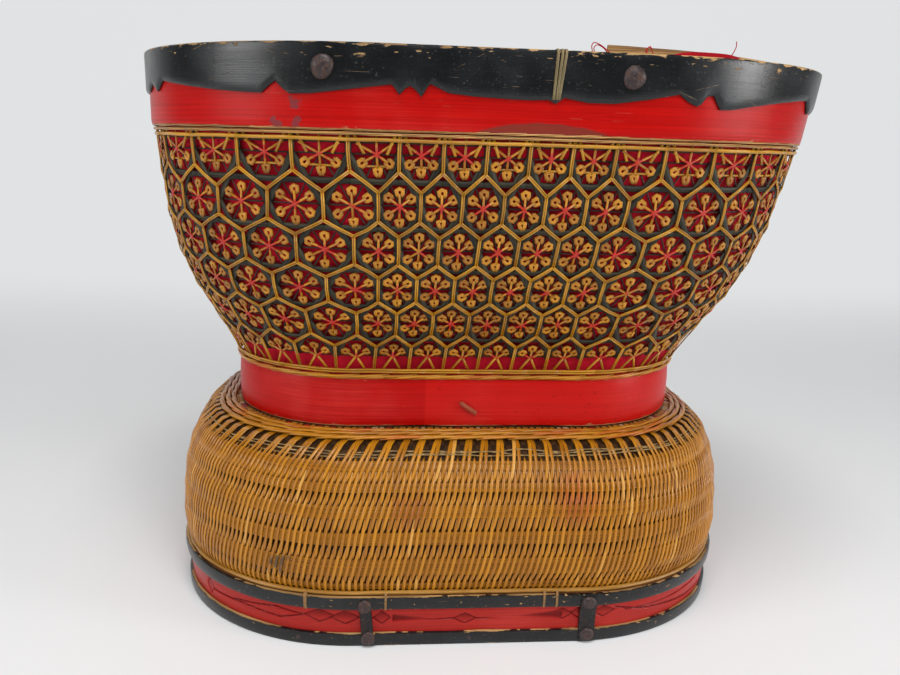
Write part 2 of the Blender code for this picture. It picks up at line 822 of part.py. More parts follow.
def build_lashing():
    """Cane over the rim, down the outside of the black band and down the inside of the hoop."""
    bm = bmesh.new()
    low = rim_top - lashing_drop
    outside = [black_inner(height) + black_band_thickness + touch_gap for height in (low, rim_top)]
    inside = [rim_hoop_face(height) - rim_hoop_thickness - touch_gap for height in (low, rim_top)]
    bridge = rim_top + touch_gap
    path = [(outside[0], low), (outside[1], bridge), (inside[1], bridge), (inside[0], low)]
    inner_line, outer_line = [], []
    for index, (radius, height) in enumerate(path):
        outwards = lashing_thickness if index < 2 else -lashing_thickness
        upwards = lashing_thickness if index in (1, 2) else 0.0
        inner_line.append((radius, height))
        outer_line.append((radius + outwards, height + upwards))
    outline_points = inner_line + outer_line[::-1]
    rows = []
    for side in (-1, 1):
        way = lashing_place + side * lashing_width / 2
        rows.append([bm.verts.new(place(way, radius, height)[0]) for radius, height in outline_points])
    count = len(outline_points)
    for index in range(count):
        after = (index + 1) % count
        bm.faces.new((rows[0][index], rows[0][after], rows[1][after], rows[1][index]))
    last = count - 1
    for row in rows:
        for index in range(len(path) - 1):
            bm.faces.new((row[index], row[index + 1], row[last - index - 1], row[last - index]))
    return finish_mesh("rim_lashing", bm, golden_cane)


build_lashing()

def both_sides(places):
    """Each left and right place on the front, and the same place on the back."""
    found = []
    for hand_name, way in zip(("left", "right"), places):
        found.append(("front", hand_name, way))
        found.append(("back", hand_name, math.copysign(half_way_round - abs(way), way)))
    return found


# Iron straps over both foot hoops, with two nails each
strap_low = strap_foot
strap_high = foot_top_hoop_top - strap_head
strap_tilt = math.atan2(foot_flare, foot_band_height)


def strap_seat(height):
    return foot_hoop_seat(height) + foot_hoop_thickness + touch_gap


def build_strap(name, way):
    bm = bmesh.new()
    bmesh.ops.create_cube(bm, size=1.0)
    for vertex in bm.verts:
        height = strap_high if vertex.co.z > 0 else strap_low
        radius = strap_seat(height) + (strap_thickness if vertex.co.y < 0 else 0.0)
        middle, normal = place(way, radius, height)
        along = Vector((-normal.y, normal.x, 0))
        vertex.co = middle + along * (strap_width * vertex.co.x)
    return finish_mesh(name, bm, wrought_iron)


strap_shank = strap_thickness + touch_gap
strap_nail_levels = {"lower": strap_low + strap_nail_inset, "upper": strap_high - strap_nail_inset}
for side_name, hand_name, way in both_sides(strap_places):
    strap = build_strap(f"foot_strap_{side_name}_{hand_name}", way)
    for level_name, height in strap_nail_levels.items():
        nail_name = f"strap_nail_{side_name}_{hand_name}_{level_name}"
        face, normal = place(way, strap_seat(height) + strap_shank, height)
        dome_nail(nail_name, face, normal, strap_tilt, strap_nail_radius, strap_nail_dome, strap_shank)
        drill([strap], face, normal, strap_tilt, strap_shank + hole_overrun, nail_name + "_hole")

# Round nail heads on the rim, whose shanks pass the black and the red band
rim_tilt = math.atan2(rim_flare, rim_top - rim_bottom)
rim_shank = black_band_thickness + red_band_thickness + touch_gap
for side_name, hand_name, way in both_sides(rim_nail_places):
    height = rim_top - rim_nail_drop
    nail_name = f"rim_nail_{side_name}_{hand_name}"
    face, normal = place(way, black_inner(height) + black_band_thickness + touch_gap, height)
    dome_nail(nail_name, face, normal, rim_tilt, rim_nail_radius, rim_nail_dome, rim_shank)
    hole_depth = rim_shank + touch_gap + hole_overrun
    drill([black_band, red_band], face, normal, rim_tilt, hole_depth, nail_name + "_hole")
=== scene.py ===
import math

import bpy
import numpy as np
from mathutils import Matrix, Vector


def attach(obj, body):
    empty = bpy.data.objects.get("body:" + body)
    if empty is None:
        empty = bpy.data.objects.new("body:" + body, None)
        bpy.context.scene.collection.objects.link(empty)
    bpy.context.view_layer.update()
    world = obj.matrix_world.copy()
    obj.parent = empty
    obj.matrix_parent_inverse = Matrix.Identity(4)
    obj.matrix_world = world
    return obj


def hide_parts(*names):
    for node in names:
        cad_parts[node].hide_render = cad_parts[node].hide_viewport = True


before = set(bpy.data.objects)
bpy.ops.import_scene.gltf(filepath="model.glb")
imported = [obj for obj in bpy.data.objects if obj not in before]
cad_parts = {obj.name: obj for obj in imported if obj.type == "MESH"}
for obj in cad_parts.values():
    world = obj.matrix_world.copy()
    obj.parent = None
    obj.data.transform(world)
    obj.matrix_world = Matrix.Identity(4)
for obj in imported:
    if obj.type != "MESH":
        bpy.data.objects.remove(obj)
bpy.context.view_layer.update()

# Lower foot hoop
# A split bamboo hoop that the basket stands on, bent round the foot, pinned and lacquered black.
# Its lacquer is rubbed down to the tan bamboo along both edges.
core_half_length = 0.065
core_half_depth = 0.019
waist_radius = 0.0765
waist_top = 0.151
rim_top = 0.332
settled_lean = 0.012
quarter_way = math.pi / 2 * waist_radius
half_way_round = 2 * core_half_length + 2 * core_half_depth + 2 * quarter_way
foot_radius = 0.109
foot_flare = 0.0026
foot_band_height = 0.031
foot_hoop_height = 0.0082
foot_hoop_thickness = 0.0023
touch_gap = 0.0003


def stand_at(way, radius, height):
    """Points of the basket. Each level is one core rectangle grown by a radius.

    The way runs round the waist from the middle of the front, positive towards +X.
    """
    way, radius, height = np.broadcast_arrays(way, radius, height)
    left = np.abs(way)
    past_front = np.clip((left - core_half_length) / waist_radius, 0, math.pi / 2)
    past_side = left - core_half_length - quarter_way - 2 * core_half_depth
    turn = past_front + np.clip(past_side / waist_radius, 0, math.pi / 2)
    on_side = np.clip(left - core_half_length - quarter_way, 0, 2 * core_half_depth)
    on_back = np.clip(left - half_way_round + core_half_length, 0, None)
    x = np.minimum(left, core_half_length) + radius * np.sin(turn) - on_back
    y = on_side - core_half_depth - radius * np.cos(turn)
    lean = settled_lean * (np.clip((height - waist_top) / (rim_top - waist_top), 0, None) - 1)
    return np.stack([np.where(way < 0, -x, x) + lean, y, height], -1)


def ways_round(step):
    """Evenly spaced ways once round the basket."""
    count = round(2 * half_way_round / step)
    return (np.arange(count) / count - 0.5) * 2 * half_way_round


def put_in_scene(name, content):
    item = bpy.data.objects.new(name, content)
    bpy.context.scene.collection.objects.link(item)
    return item


def show(name, mesh, material):
    """A piece in its own material. Nothing on the basket moves, so every piece rides its one body."""
    mesh.name = name
    mesh.materials.clear()
    mesh.materials.append(material)
    piece = put_in_scene(name, mesh)
    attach(piece, "root")
    return piece


def points_of_corners(mesh):
    """The point that each corner of each face uses."""
    points = np.empty(len(mesh.loops), dtype=np.int32)
    mesh.loops.foreach_get("vertex_index", points)
    return points


def write_lay(mesh, places):
    """A piece's own map: how far along its bamboo each corner lies, and how far across."""
    mesh.uv_layers.new(name="lay").data.foreach_set("uv", np.asarray(places, np.float32).ravel())


def mark_points(mesh, label, values, kind="FLOAT"):
    """Give every point of a mesh a share or a direction, for its finish or its laying."""
    made = mesh.attributes.new(label, kind, "POINT")
    made.data.foreach_set("value" if kind == "FLOAT" else "vector", np.asarray(values, np.float32).ravel())


def carry_round(name, ways, radii, heights, smooth=math.radians(35), whole=True):
    """A closed section carried along the ways: radii and heights are ways x corners."""
    radii, heights = np.broadcast_arrays(radii, heights)
    count, corners = len(ways), radii.shape[-1]
    radii = np.broadcast_to(radii, (count, corners))
    heights = np.broadcast_to(heights, (count, corners))
    points = stand_at(np.asarray(ways)[:, None], radii, heights)
    index = np.arange(count * corners).reshape(count, corners)
    runs = count if whole else count - 1
    here, after = index[:runs], np.roll(index, -1, 0)[:runs]
    faces = np.stack([here, after, np.roll(after, -1, 1), np.roll(here, -1, 1)], -1).reshape(-1, 4)
    flat = points.reshape(-1, 3)
    first, second, third, fourth = (flat[faces[:, corner]] for corner in range(4))
    middle = flat.mean(0)
    if np.einsum("ij,ij->", np.cross(third - first, fourth - second), first - middle) < 0:
        faces = faces[:, ::-1]
    whole_faces = faces.tolist()
    if not whole:
        ends = [index[0].tolist(), index[-1].tolist()]
        outward = np.cross(flat[ends[0][1]] - flat[ends[0][0]], flat[ends[0][2]] - flat[ends[0][1]])
        if np.dot(outward, flat[index[1][0]] - flat[index[0][0]]) > 0:
            ends[0].reverse()
        else:
            ends[1].reverse()
        whole_faces += ends
    mesh = bpy.data.meshes.new(name)
    mesh.from_pydata(flat.tolist(), [], whole_faces)
    mesh.shade_smooth()
    mesh.set_sharp_from_angle(angle=smooth)
    used = points_of_corners(mesh)
    along = np.asarray(ways)[used // corners]
    seam = np.zeros(len(used), dtype=bool)
    quads = np.repeat(np.ptp(along[:len(faces) * 4].reshape(-1, 4), axis=1) > half_way_round, 4)
    seam[:len(quads)] = quads
    along = np.where(seam & (along < 0), along + 2 * half_way_round, along)
    write_lay(mesh, np.stack([along, flat[used, 2]], -1))
    return mesh


def hoop_section(seat, low, high, thickness):
    """Section of a split hoop: flat inside, crowned outside, with eased edges."""
    turn = np.linspace(0, math.pi, 9)
    crown = 0.62 + 0.38 * np.sin(turn) ** 0.7
    share = 0.5 - 0.5 * np.cos(turn)
    heights = low + (high - low) * share
    outer = seat(heights) + thickness * np.where((share == 0) | (share == 1), 0.5, crown)
    return np.append(outer, seat(np.array([high, low]))), np.append(heights, [high, low])


def colour(red, green, blue):
    """A colour as a picture shows it, from 0 to 255, in the shader's own terms."""
    parts = [part / 255 for part in (red, green, blue)]
    return (*[part / 12.92 if part < 0.04 else ((part + 0.055) / 1.055) ** 2.4 for part in parts], 1)


def add(tree, kind, values=None, **settings):
    made = tree.nodes.new(kind)
    for setting, value in settings.items():
        setattr(made, setting, value)
    for socket, value in (values or {}).items():
        if isinstance(value, bpy.types.NodeSocket):
            tree.links.new(value, made.inputs[socket])
        else:
            made.inputs[socket].default_value = value
    return made


def calc(tree, operation, *values):
    return add(tree, "ShaderNodeMath", dict(enumerate(values)), operation=operation).outputs[0]


def times(tree, first, second):
    return calc(tree, "MULTIPLY", first, second)


def plus(tree, first, second):
    return calc(tree, "ADD", first, second)


def minus(tree, first, second):
    return calc(tree, "SUBTRACT", first, second)


def larger(tree, first, second):
    return calc(tree, "MAXIMUM", first, second)


def aim(tree, operation, *values):
    return add(tree, "ShaderNodeVectorMath", dict(enumerate(values)), operation=operation).outputs[0]


def split_place(tree, place):
    """The three coordinates of a place, each by itself."""
    return add(tree, "ShaderNodeSeparateXYZ", {0: place}).outputs


def distance_from(tree, place, middle):
    return add(tree, "ShaderNodeVectorMath", {0: place, 1: middle}, operation="DISTANCE").outputs["Value"]


def ramp(tree, value, low, high):
    """0 below low, 1 above high, and a soft step between."""
    ends = {"Value": value, "From Min": low, "From Max": high}
    return add(tree, "ShaderNodeMapRange", ends, interpolation_type="SMOOTHSTEP").outputs[0]


def mix(tree, share, first, second):
    inputs = {0: share, 6: first, 7: second}
    return add(tree, "ShaderNodeMix", inputs, data_type="RGBA").outputs[2]


def cloud(tree, place, scale, detail, output=0):
    """Soft noise: a value, or a colour from output 1."""
    values = {"Vector": place, "Scale": scale, "Detail": detail}
    return add(tree, "ShaderNodeTexNoise", values).outputs[output]


def new_group(name, sizes, outputs):
    """A shader node group with a place and named sizes. Its output sockets are set by the caller."""
    tree = bpy.data.node_groups.new(name, "ShaderNodeTree")
    tree.interface.new_socket("Place", in_out="INPUT", socket_type="NodeSocketVector")
    for socket, size in sizes.items():
        made = tree.interface.new_socket(socket, in_out="INPUT", socket_type="NodeSocketFloat")
        made.default_value = size
    for socket in outputs:
        tree.interface.new_socket(socket, in_out="OUTPUT", socket_type="NodeSocketFloat")
    return tree, tree.nodes.new("NodeGroupInput").outputs, tree.nodes.new("NodeGroupOutput").inputs


def build_fibre_grain():
    """Long fibres of split bamboo: streaks along the first coordinate of Place, in metres."""
    sizes = {"Fibre length": 0.03, "Fibre width": 0.0004}
    tree, given, made = new_group("fibre grain", sizes, ("Shade", "Height"))
    stretch = add(tree, "ShaderNodeCombineXYZ", {
        0: calc(tree, "DIVIDE", 1.0, given["Fibre length"]),
        1: calc(tree, "DIVIDE", 1.0, given["Fibre width"]), 2: 60.0,
    }).outputs[0]
    place = aim(tree, "MULTIPLY", given["Place"], stretch)
    fine = cloud(tree, place, 1.0, 3.0)
    broad = cloud(tree, place, 0.23, 1.0)
    tree.links.new(ramp(tree, plus(tree, fine, times(tree, broad, 0.8)), 0.6, 1.2), made[0])
    tree.links.new(fine, made[1])
    return tree


def build_rubbed_edge():
    """Where lacquer is rubbed off: in long patches near two heights, and in small scattered chips."""
    sizes = {"Low": 0.0, "High": 0.01, "Reach": 0.0008, "Chips": 0.2}
    tree, given, made = new_group("rubbed edge", sizes, ("Mask",))
    height = split_place(tree, given["Place"])[2]
    distance = calc(tree, "MINIMUM", minus(tree, height, given["Low"]), minus(tree, given["High"], height))
    reaches = calc(tree, "DIVIDE", distance, given["Reach"])
    near = larger(tree, minus(tree, 1.0, reaches), 0.0)
    long_patches = cloud(tree, aim(tree, "MULTIPLY", given["Place"], (150.0, 150.0, 620.0)), 1.0, 4.0)
    edge = ramp(tree, plus(tree, times(tree, times(tree, near, near), 0.24), long_patches), 0.65, 0.7)
    close = minus(tree, 3.0, reaches)
    edge = times(tree, edge, calc(tree, "MINIMUM", larger(tree, close, 0.0), 1.0))
    small = cloud(tree, aim(tree, "MULTIPLY", given["Place"], (260.0, 260.0, 700.0)), 1.0, 3.0)
    rare = minus(tree, 0.8, times(tree, given["Chips"], 0.2))
    chips = ramp(tree, small, rare, plus(tree, rare, 0.03))
    tree.links.new(larger(tree, edge, chips), made[0])
    return tree


fibre_grain = build_fibre_grain()
rubbed_edge = build_rubbed_edge()


def new_material(name, roughness, specular=0.5):
    material = bpy.data.materials.new(name)
    material.use_nodes = True
    tree = material.node_tree
    shader = tree.nodes["Principled BSDF"]
    shader.inputs["Roughness"].default_value = roughness
    shader.inputs["Specular IOR Level"].default_value = specular
    return material, tree, shader


def object_place(tree):
    return tree.nodes.new("ShaderNodeTexCoord").outputs["Object"]


def uv_place(tree, name):
    return add(tree, "ShaderNodeUVMap", uv_map=name).outputs[0]


def point_share(tree, name):
    """A share from 0 to 1 that a piece's points carry."""
    return add(tree, "ShaderNodeAttribute", attribute_name=name).outputs["Fac"]


def fill_group(tree, group, values):
    return add(tree, "ShaderNodeGroup", values, node_tree=group).outputs


def paint(tree, shader, shown, rough=None):
    """Feed a finish's colour, and its roughness where that changes over the surface."""
    tree.links.new(shown, shader.inputs["Base Color"])
    if rough is not None:
        tree.links.new(rough, shader.inputs["Roughness"])


def raise_surface(tree, shader, height, strength, distance):
    bump = add(tree, "ShaderNodeBump", {"Height": height, "Strength": strength, "Distance": distance})
    tree.links.new(bump.outputs[0], shader.inputs["Normal"])


def scratch_mask(tree, lay, turn, low):
    """Thin straight scratches, running at a slant to the fibres."""
    values = {"Vector": lay, "Angle": turn}
    turned = add(tree, "ShaderNodeVectorRotate", values, rotation_type="Z_AXIS").outputs[0]
    streaks = cloud(tree, aim(tree, "MULTIPLY", turned, (45.0, 1100.0, 1.0)), 1.0, 3.0)
    return ramp(tree, streaks, low, low + 0.03)


def black_lacquer(name, low, high, reach, chips, scratched):
    """Black lacquer on bamboo from low to high, worn through to tan, with dust and scratches."""
    material, tree, shader = new_material(name, 0.38, 0.45)
    place = object_place(tree)
    lay = uv_place(tree, "lay")
    grain = fill_group(tree, fibre_grain, {"Place": lay, "Fibre length": 0.05})
    bare = fill_group(tree, rubbed_edge, {
        "Place": place, "Low": low, "High": high, "Reach": reach, "Chips": chips,
    })[0]
    dusty = cloud(tree, place, 45.0, 3.0)
    dark = mix(tree, ramp(tree, dusty, 0.4, 0.75), colour(8, 10, 12), colour(22, 25, 28))
    specks = ramp(tree, cloud(tree, place, 700.0, 3.0), 0.62, 0.74)
    dark = mix(tree, times(tree, specks, 0.3), dark, colour(96, 100, 102))
    scratches = larger(tree, scratch_mask(tree, lay, 0.55, 0.71), scratch_mask(tree, lay, -0.45, 0.72))
    scratches = larger(tree, scratches, scratch_mask(tree, lay, 0.02, 0.71))
    tan = mix(tree, grain[0], colour(96, 66, 34), colour(196, 156, 98))
    marks = larger(tree, bare, times(tree, scratches, scratched))
    rough = plus(tree, 0.2, times(tree, dusty, 0.2))
    paint(tree, shader, mix(tree, marks, dark, tan), plus(tree, rough, times(tree, marks, 0.3)))
    height = minus(tree, times(tree, grain[1], 0.5), marks)
    raise_surface(tree, shader, height, 0.5, 0.0003)
    return material


def foot_outer(height):
    return foot_radius + foot_flare * np.asarray(height) / foot_band_height


def foot_hoop_seat(height):
    return foot_outer(height) + touch_gap


def wander(ways, step, size, seed):
    """A slow unevenness of hand work: a soft curve round the basket with the same start and end.

    Its swells are a step apart and up to the size high.
    """
    count = max(4, round(2 * half_way_round / step))
    knots = np.random.default_rng(seed).uniform(-size, size, count)
    place = (np.asarray(ways) / (2 * half_way_round) + 0.5) % 1 * count
    low = np.floor(place).astype(int) % count
    share = place - np.floor(place)
    share = share * share * (3 - 2 * share)
    return knots[low] * (1 - share) + knots[(low + 1) % count] * share


hoop_ways = ways_round(0.0025)
hoop_wear = {"reach": 0.00035, "chips": 0.6, "scratched": 0.4}
radii, heights = hoop_section(foot_hoop_seat, 0.0, foot_hoop_height, foot_hoop_thickness)
ripple = wander(hoop_ways, 0.02, 0.00035, 3)[:, None] * (heights > 0.001)
lower_hoop = show(
    "foot_bottom_hoop_dressed", carry_round("lower hoop", hoop_ways, radii + ripple * 0.6, heights + ripple),
    black_lacquer("lower hoop lacquer", 0.0, foot_hoop_height, **hoop_wear),
)
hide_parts("foot_bottom_hoop")

# Carved foot band
# A wide bamboo band round the foot, lacquered red. Diamonds, long pointed flutes and plain lines are
# cut into it with a knife, and the cuts are painted darker.
foot_band_thickness = 0.0022
foot_band_lift = 0.0005
band_ways = ways_round(0.0006)
band_rows = np.linspace(foot_band_lift, foot_band_height, 58)
cut_depth = 0.0011


def diamond_cut(ways, heights, centre, level, half_length, half_height):
    """A hollow diamond with a knife line round it, deepest under its upper edges."""
    across = np.abs(ways - centre) / half_length + np.abs(heights - level) / half_height
    hollow = np.clip((1 - across) * 5, 0, 1) * (0.4 + 0.35 * np.clip((heights - level) / half_height, -1, 1))
    return np.maximum(hollow, np.clip(1 - np.abs(across - 1) / 0.2, 0, 1) * 0.95)


def flute_cut(ways, heights, tip, base, level, tip_level, half_height):
    """A long flute that widens from its tip to a square base."""
    share = (ways - tip) / (base - tip)
    middle = tip_level + (level - tip_level) * share
    reach = half_height * np.clip(share, 0, 1) + 1e-6
    inside = (share > 0) & (share < 1)
    return np.where(inside, np.clip(1.2 - np.abs(heights - middle) / reach, 0, 1) * (0.3 + 0.7 * share), 0)


def line_cut(ways, heights, points, half_width):
    """A knife line through points of (way, height)."""
    places = np.array(points)
    line = np.interp(ways, places[:, 0], places[:, 1], left=-1, right=-1)
    return np.clip(1 - np.abs(heights - line) / half_width, 0, 1)


# Diamonds are (centre, level, half length, half height), flutes (tip, base, level, tip level, half
# height), and knife lines (points, half width).
diamonds = (
    (-0.0017, 0.0159, 0.0066, 0.0034), (0.0560, 0.0180, 0.0062, 0.0036), (0.0665, 0.0184, 0.0054, 0.0040),
    (0.0760, 0.0186, 0.0050, 0.0036), (-0.0500, 0.0172, 0.0050, 0.0042), (-0.0691, 0.0176, 0.0062, 0.0042),
    (-0.0795, 0.0184, 0.0062, 0.0042), (-0.1370, 0.0165, 0.0028, 0.0058),
)
flutes = (
    (-0.034, -0.0085, 0.0160, 0.0150, 0.0007), (0.030, 0.0050, 0.0158, 0.0158, 0.0006),
    (0.0245, 0.0560, 0.0176, 0.0166, 0.0034), (-0.0190, -0.0440, 0.0168, 0.0158, 0.0030),
)
knife_lines = (
    (((-0.1345, 0.0150), (-0.1150, 0.0160), (-0.0960, 0.0140), (-0.0860, 0.0180)), 0.0008),
    (((-0.1200, 0.0165), (-0.0980, 0.0205), (-0.0860, 0.0180)), 0.0008),
    (((0.0810, 0.0205), (0.0950, 0.0160), (0.1250, 0.0115), (0.1500, 0.0110)), 0.0010),
    (((0.0860, 0.0175), (0.1100, 0.0175), (0.1350, 0.0190)), 0.0007),
    (((-0.0600, 0.0168), (-0.0555, 0.0172)), 0.0005),
)


def carve(ways, heights):
    """Depth share of all cuts at a place on the foot band."""
    cuts = [diamond_cut(ways, heights, *sizes) for sizes in diamonds]
    cuts += [flute_cut(ways, heights, *sizes) for sizes in flutes]
    cuts += [line_cut(ways, heights, *sizes) for sizes in knife_lines]
    return np.max(np.stack(cuts), 0)


way_grid, height_grid = np.meshgrid(band_ways, band_rows, indexing="ij")
front_cuts = carve(way_grid, height_grid)
back_ways = np.where(way_grid < 0, -half_way_round - way_grid, half_way_round - way_grid)
carved = np.maximum(front_cuts, carve(back_ways, height_grid))
uneven = wander(band_ways, 0.03, 0.00025, 7)[:, None] + wander(band_ways, 0.006, 0.00008, 8)[:, None]
outer = foot_outer(height_grid) + uneven - cut_depth * carved
inner_heights = np.broadcast_to([foot_band_height, foot_band_lift], (len(band_ways), 2))
inner = foot_outer(inner_heights) - foot_band_thickness
band_mesh = carry_round(
    "foot band", band_ways, np.concatenate([outer, inner], 1),
    np.concatenate([height_grid, inner_heights], 1),
)
mark_points(band_mesh, "cut", np.concatenate([carved, np.zeros_like(inner)], 1))


def red_lacquer(
    name, low, high, chips=0.0, cut_name=None, cut_colour=(96, 8, 10), step_way=None, faded=0.0, stains=(),
):
    """Red lacquer on a band from low to high, with the bamboo's fibres under it.

    The lacquer can be faded, dark in its cuts, lighter past one way round, and stained.
    """
    material, tree, shader = new_material(name, 0.32, 0.14)
    place = object_place(tree)
    lay = uv_place(tree, "lay")
    grain = fill_group(tree, fibre_grain, {"Place": lay, "Fibre length": 0.03, "Fibre width": 0.0003})
    patches = cloud(tree, place, 16.0, 3.0)
    deep = mix(tree, faded, mix(tree, grain[0], colour(162, 5, 2), colour(190, 10, 5)), colour(138, 66, 58))
    # Pale streaks along the fibres, in patches: partly paler lacquer, partly a painted highlight of the sheen
    # along the grain.
    pale = times(tree, ramp(tree, patches, 0.45, 0.75), plus(tree, 0.25, grain[0]))
    shown = mix(tree, times(tree, pale, 0.5), deep, colour(204, 70, 62))
    if step_way is not None:
        along = split_place(tree, lay)[0]
        lighter = ramp(tree, along, step_way, step_way + 0.0008)
        specks = ramp(tree, cloud(tree, place, 500.0, 2.0), 0.68, 0.72)
        shown = mix(tree, times(tree, lighter, 0.4), shown, colour(206, 26, 18))
        shown = mix(tree, times(tree, times(tree, lighter, specks), 0.5), shown, colour(90, 10, 10))
    for middle, size in stains:
        spot = distance_from(tree, place, middle)
        reach = plus(tree, spot, times(tree, cloud(tree, place, 420.0, 3.0), 0.011))
        stain = minus(tree, 1.0, ramp(tree, reach, size + 0.0052, size + 0.0064))
        shown = mix(tree, times(tree, stain, 0.7), shown, colour(98, 58, 62))
    scratches = larger(tree, scratch_mask(tree, lay, 0.01, 0.7), scratch_mask(tree, lay, 0.5, 0.76))
    bare = fill_group(tree, rubbed_edge, {
        "Place": place, "Low": low, "High": high, "Reach": 0.0005, "Chips": chips,
    })[0]
    marks = larger(tree, bare, times(tree, scratches, 0.3))
    shown = mix(tree, marks, shown, colour(176, 112, 76))
    if cut_name:
        # The piece's cut share paints its cuts darker; on the rim it marks the gnawed stretch in a worn
        # brown.
        cut = point_share(tree, cut_name)
        cut_tint = times(tree, ramp(tree, cut, 0.1, 0.8), 0.85)
        shown = mix(tree, cut_tint, shown, colour(*cut_colour))
    rough = plus(tree, 0.24, times(tree, patches, 0.22))
    paint(tree, shader, shown, plus(tree, rough, times(tree, marks, 0.3)))
    height = minus(tree, times(tree, grain[1], 0.6), marks)
    raise_surface(tree, shader, height, 0.35, 0.0003)
    return material


band_seen_low, band_seen_high = 0.0075, 0.0245
foot_band = show(
    "foot_band_dressed", band_mesh,
    red_lacquer("foot band lacquer", band_seen_low, band_seen_high, 0.15, "cut", faded=0.35),
)
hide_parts("foot_band")

# Upper foot hoop
# A second split bamboo hoop, bent round over the band's upper edge, where the close weave begins. It
# is lacquered black, and rubbed to tan like the lower one.
upper_hoop_top = foot_band_height + 0.0008
upper_hoop_base = upper_hoop_top - foot_hoop_height
radii, heights = hoop_section(foot_hoop_seat, upper_hoop_base, upper_hoop_top, foot_hoop_thickness)
ripple = wander(hoop_ways, 0.025, 0.0003, 5)[:, None]
upper_hoop = show(
    "foot_top_hoop_dressed", carry_round("upper hoop", hoop_ways, radii + ripple * 0.5, heights + ripple),
    black_lacquer("upper hoop lacquer", upper_hoop_base, upper_hoop_top, **hoop_wear),
)
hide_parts("foot_top_hoop")

# Cane edge
# A thin golden cane laid on the upper hoop, in the joint with the weave. Six thin ties of split cane
# over the hoop hold it.
cane_base = upper_hoop_top + touch_gap
cane_height = 0.0026
cane_width = 0.0026
wall_at_cane = 0.1095


def edge_cane(name, light, dark):
    """Varnished golden cane: its fibres run along it, and smoke has browned it in patches."""
    material, tree, shader = new_material(name, 0.36)
    place = object_place(tree)
    grain = fill_group(tree, fibre_grain, {
        "Place": uv_place(tree, "lay"), "Fibre length": 0.012, "Fibre width": 0.00035,
    })
    shown = mix(tree, times(tree, grain[0], 0.4), dark, light)
    smoke = ramp(tree, cloud(tree, place, 24.0, 3.0), 0.5, 0.8)
    shown = mix(tree, times(tree, smoke, 0.35), shown, colour(122, 72, 24))
    paint(tree, shader, shown, plus(tree, 0.3, times(tree, grain[0], 0.16)))
    raise_surface(tree, shader, grain[1], 0.5, 0.0003)
    return material


cane_turn = np.linspace(0, 2 * math.pi, 9)[:-1]
lumps = wander(hoop_ways, 0.007, 0.0005, 11)[:, None]
cane_mesh = carry_round(
    "cane edge", hoop_ways,
    wall_at_cane + cane_width / 2 * (1 + np.cos(cane_turn)) + lumps,
    cane_base + cane_height / 2 * (1 + np.sin(cane_turn)) + lumps * 0.5,
)
cane_finish = edge_cane("edge cane", colour(214, 166, 76), colour(140, 92, 26))
cane_edge = show("foot_cane_edge_dressed", cane_mesh, cane_finish)
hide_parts("foot_cane_edge")
tie_top, tie_base = 0.0340, 0.0236
tie_half_width = 0.0006
tie_thickness = 0.0007
tie_ways = (-0.0845, -0.0480, 0.0440, 0.0515, half_way_round - 0.05, 0.09 - half_way_round)
tie_heights = np.linspace(tie_top, tie_base, 8)
tie_lift = np.array([-0.0008, 0.0004, 0.0006, 0.0006, 0.0006, 0.0006, 0.0004, -0.0004])
tie_section = np.clip(foot_hoop_seat(tie_heights) + foot_hoop_thickness + tie_lift, wall_at_cane, None)
for number, tie_way in enumerate(tie_ways):
    tie_mesh = carry_round(
        "cane tie", tie_way + np.linspace(-tie_half_width, tie_half_width, 4),
        np.append(tie_section, tie_section[[-1, 0]] - tie_thickness),
        np.append(tie_heights, tie_heights[[-1, 0]]), whole=False,
    )
    tie_finish = edge_cane("tie cane", colour(186, 146, 84), colour(112, 78, 36))
    tie = show(f"cane_tie_{number + 1}", tie_mesh, tie_finish)

# Woven bulb
# The close-woven lower basket: two sets of 300 split stakes run up from the foot to the neck, over and
# under bands of fine weft, so that each set shows on every other band. They rise a little to the right,
# and a thin plaited wall stands behind them.
neck_radius = 0.074
bulb_radius = 0.1137
shoulder_base, shoulder_top = 0.056, 0.1222
collar_top = 0.1498
stake_count = 300
stake_width = 0.0020
stake_slant = 0.13
even_band_slant = 0.11
weft_gap = 0.0005
stake_foot = 0.0318
open_row_radius = 0.0905
weft_bands = (
    (0.1091, 0.105), (0.0981, 0.0938), (0.0857, 0.0795), (0.0704, 0.0638), (0.0546, 0.0452), (0.0392, 0.0357),
)
weft_pitch = 0.00052
weft_hump_pitch = 0.0028
inward_shares = ((0, 0), (0.363, 0.043), (0.605, 0.141), (0.77, 0.265), (0.9, 0.43), (0.965, 0.64), (1, 1))
bulb_start = (foot_outer(foot_band_height) - 0.0025, foot_band_height + 0.0006)
bulb_points = [bulb_start, (bulb_radius - 0.0004, 0.042)]
for share, inward in inward_shares:
    level = shoulder_base + (shoulder_top - shoulder_base) * share
    bulb_points.append((bulb_radius - (bulb_radius - neck_radius) * inward, level))
fan_length = 4 * (core_half_length + core_half_depth) + 2 * math.pi * bulb_radius
flat_scale = 0.8


def unit(vectors):
    return vectors / np.linalg.norm(vectors, axis=-1, keepdims=True)


def smooth_wall(points, spread):
    """A wall's section, through points of (radius, height), with its corners rounded."""
    step = 0.001
    corners = np.array(points, float)
    lengths = np.append(0, np.cumsum(np.hypot(*np.diff(corners, axis=0).T)))
    places = np.linspace(0, lengths[-1], round(lengths[-1] / step) + 1)
    line = np.stack([np.interp(places, lengths, corners[:, part]) for part in (0, 1)], -1)
    reach = round(2.5 * spread / step)
    weights = np.exp(-0.5 * (np.arange(-reach, reach + 1) * step / spread) ** 2)
    weights /= weights.sum()
    padded = np.concatenate([2 * line[0] - line[reach:0:-1], line, 2 * line[-1] - line[-2:-reach - 2:-1]])
    return np.stack([np.convolve(padded[:, part], weights, "valid") for part in (0, 1)], -1)


def climbs_of(section):
    """How far up the wall each point of a section lies."""
    return np.append(0, np.cumsum(np.hypot(*np.diff(section, axis=0).T)))


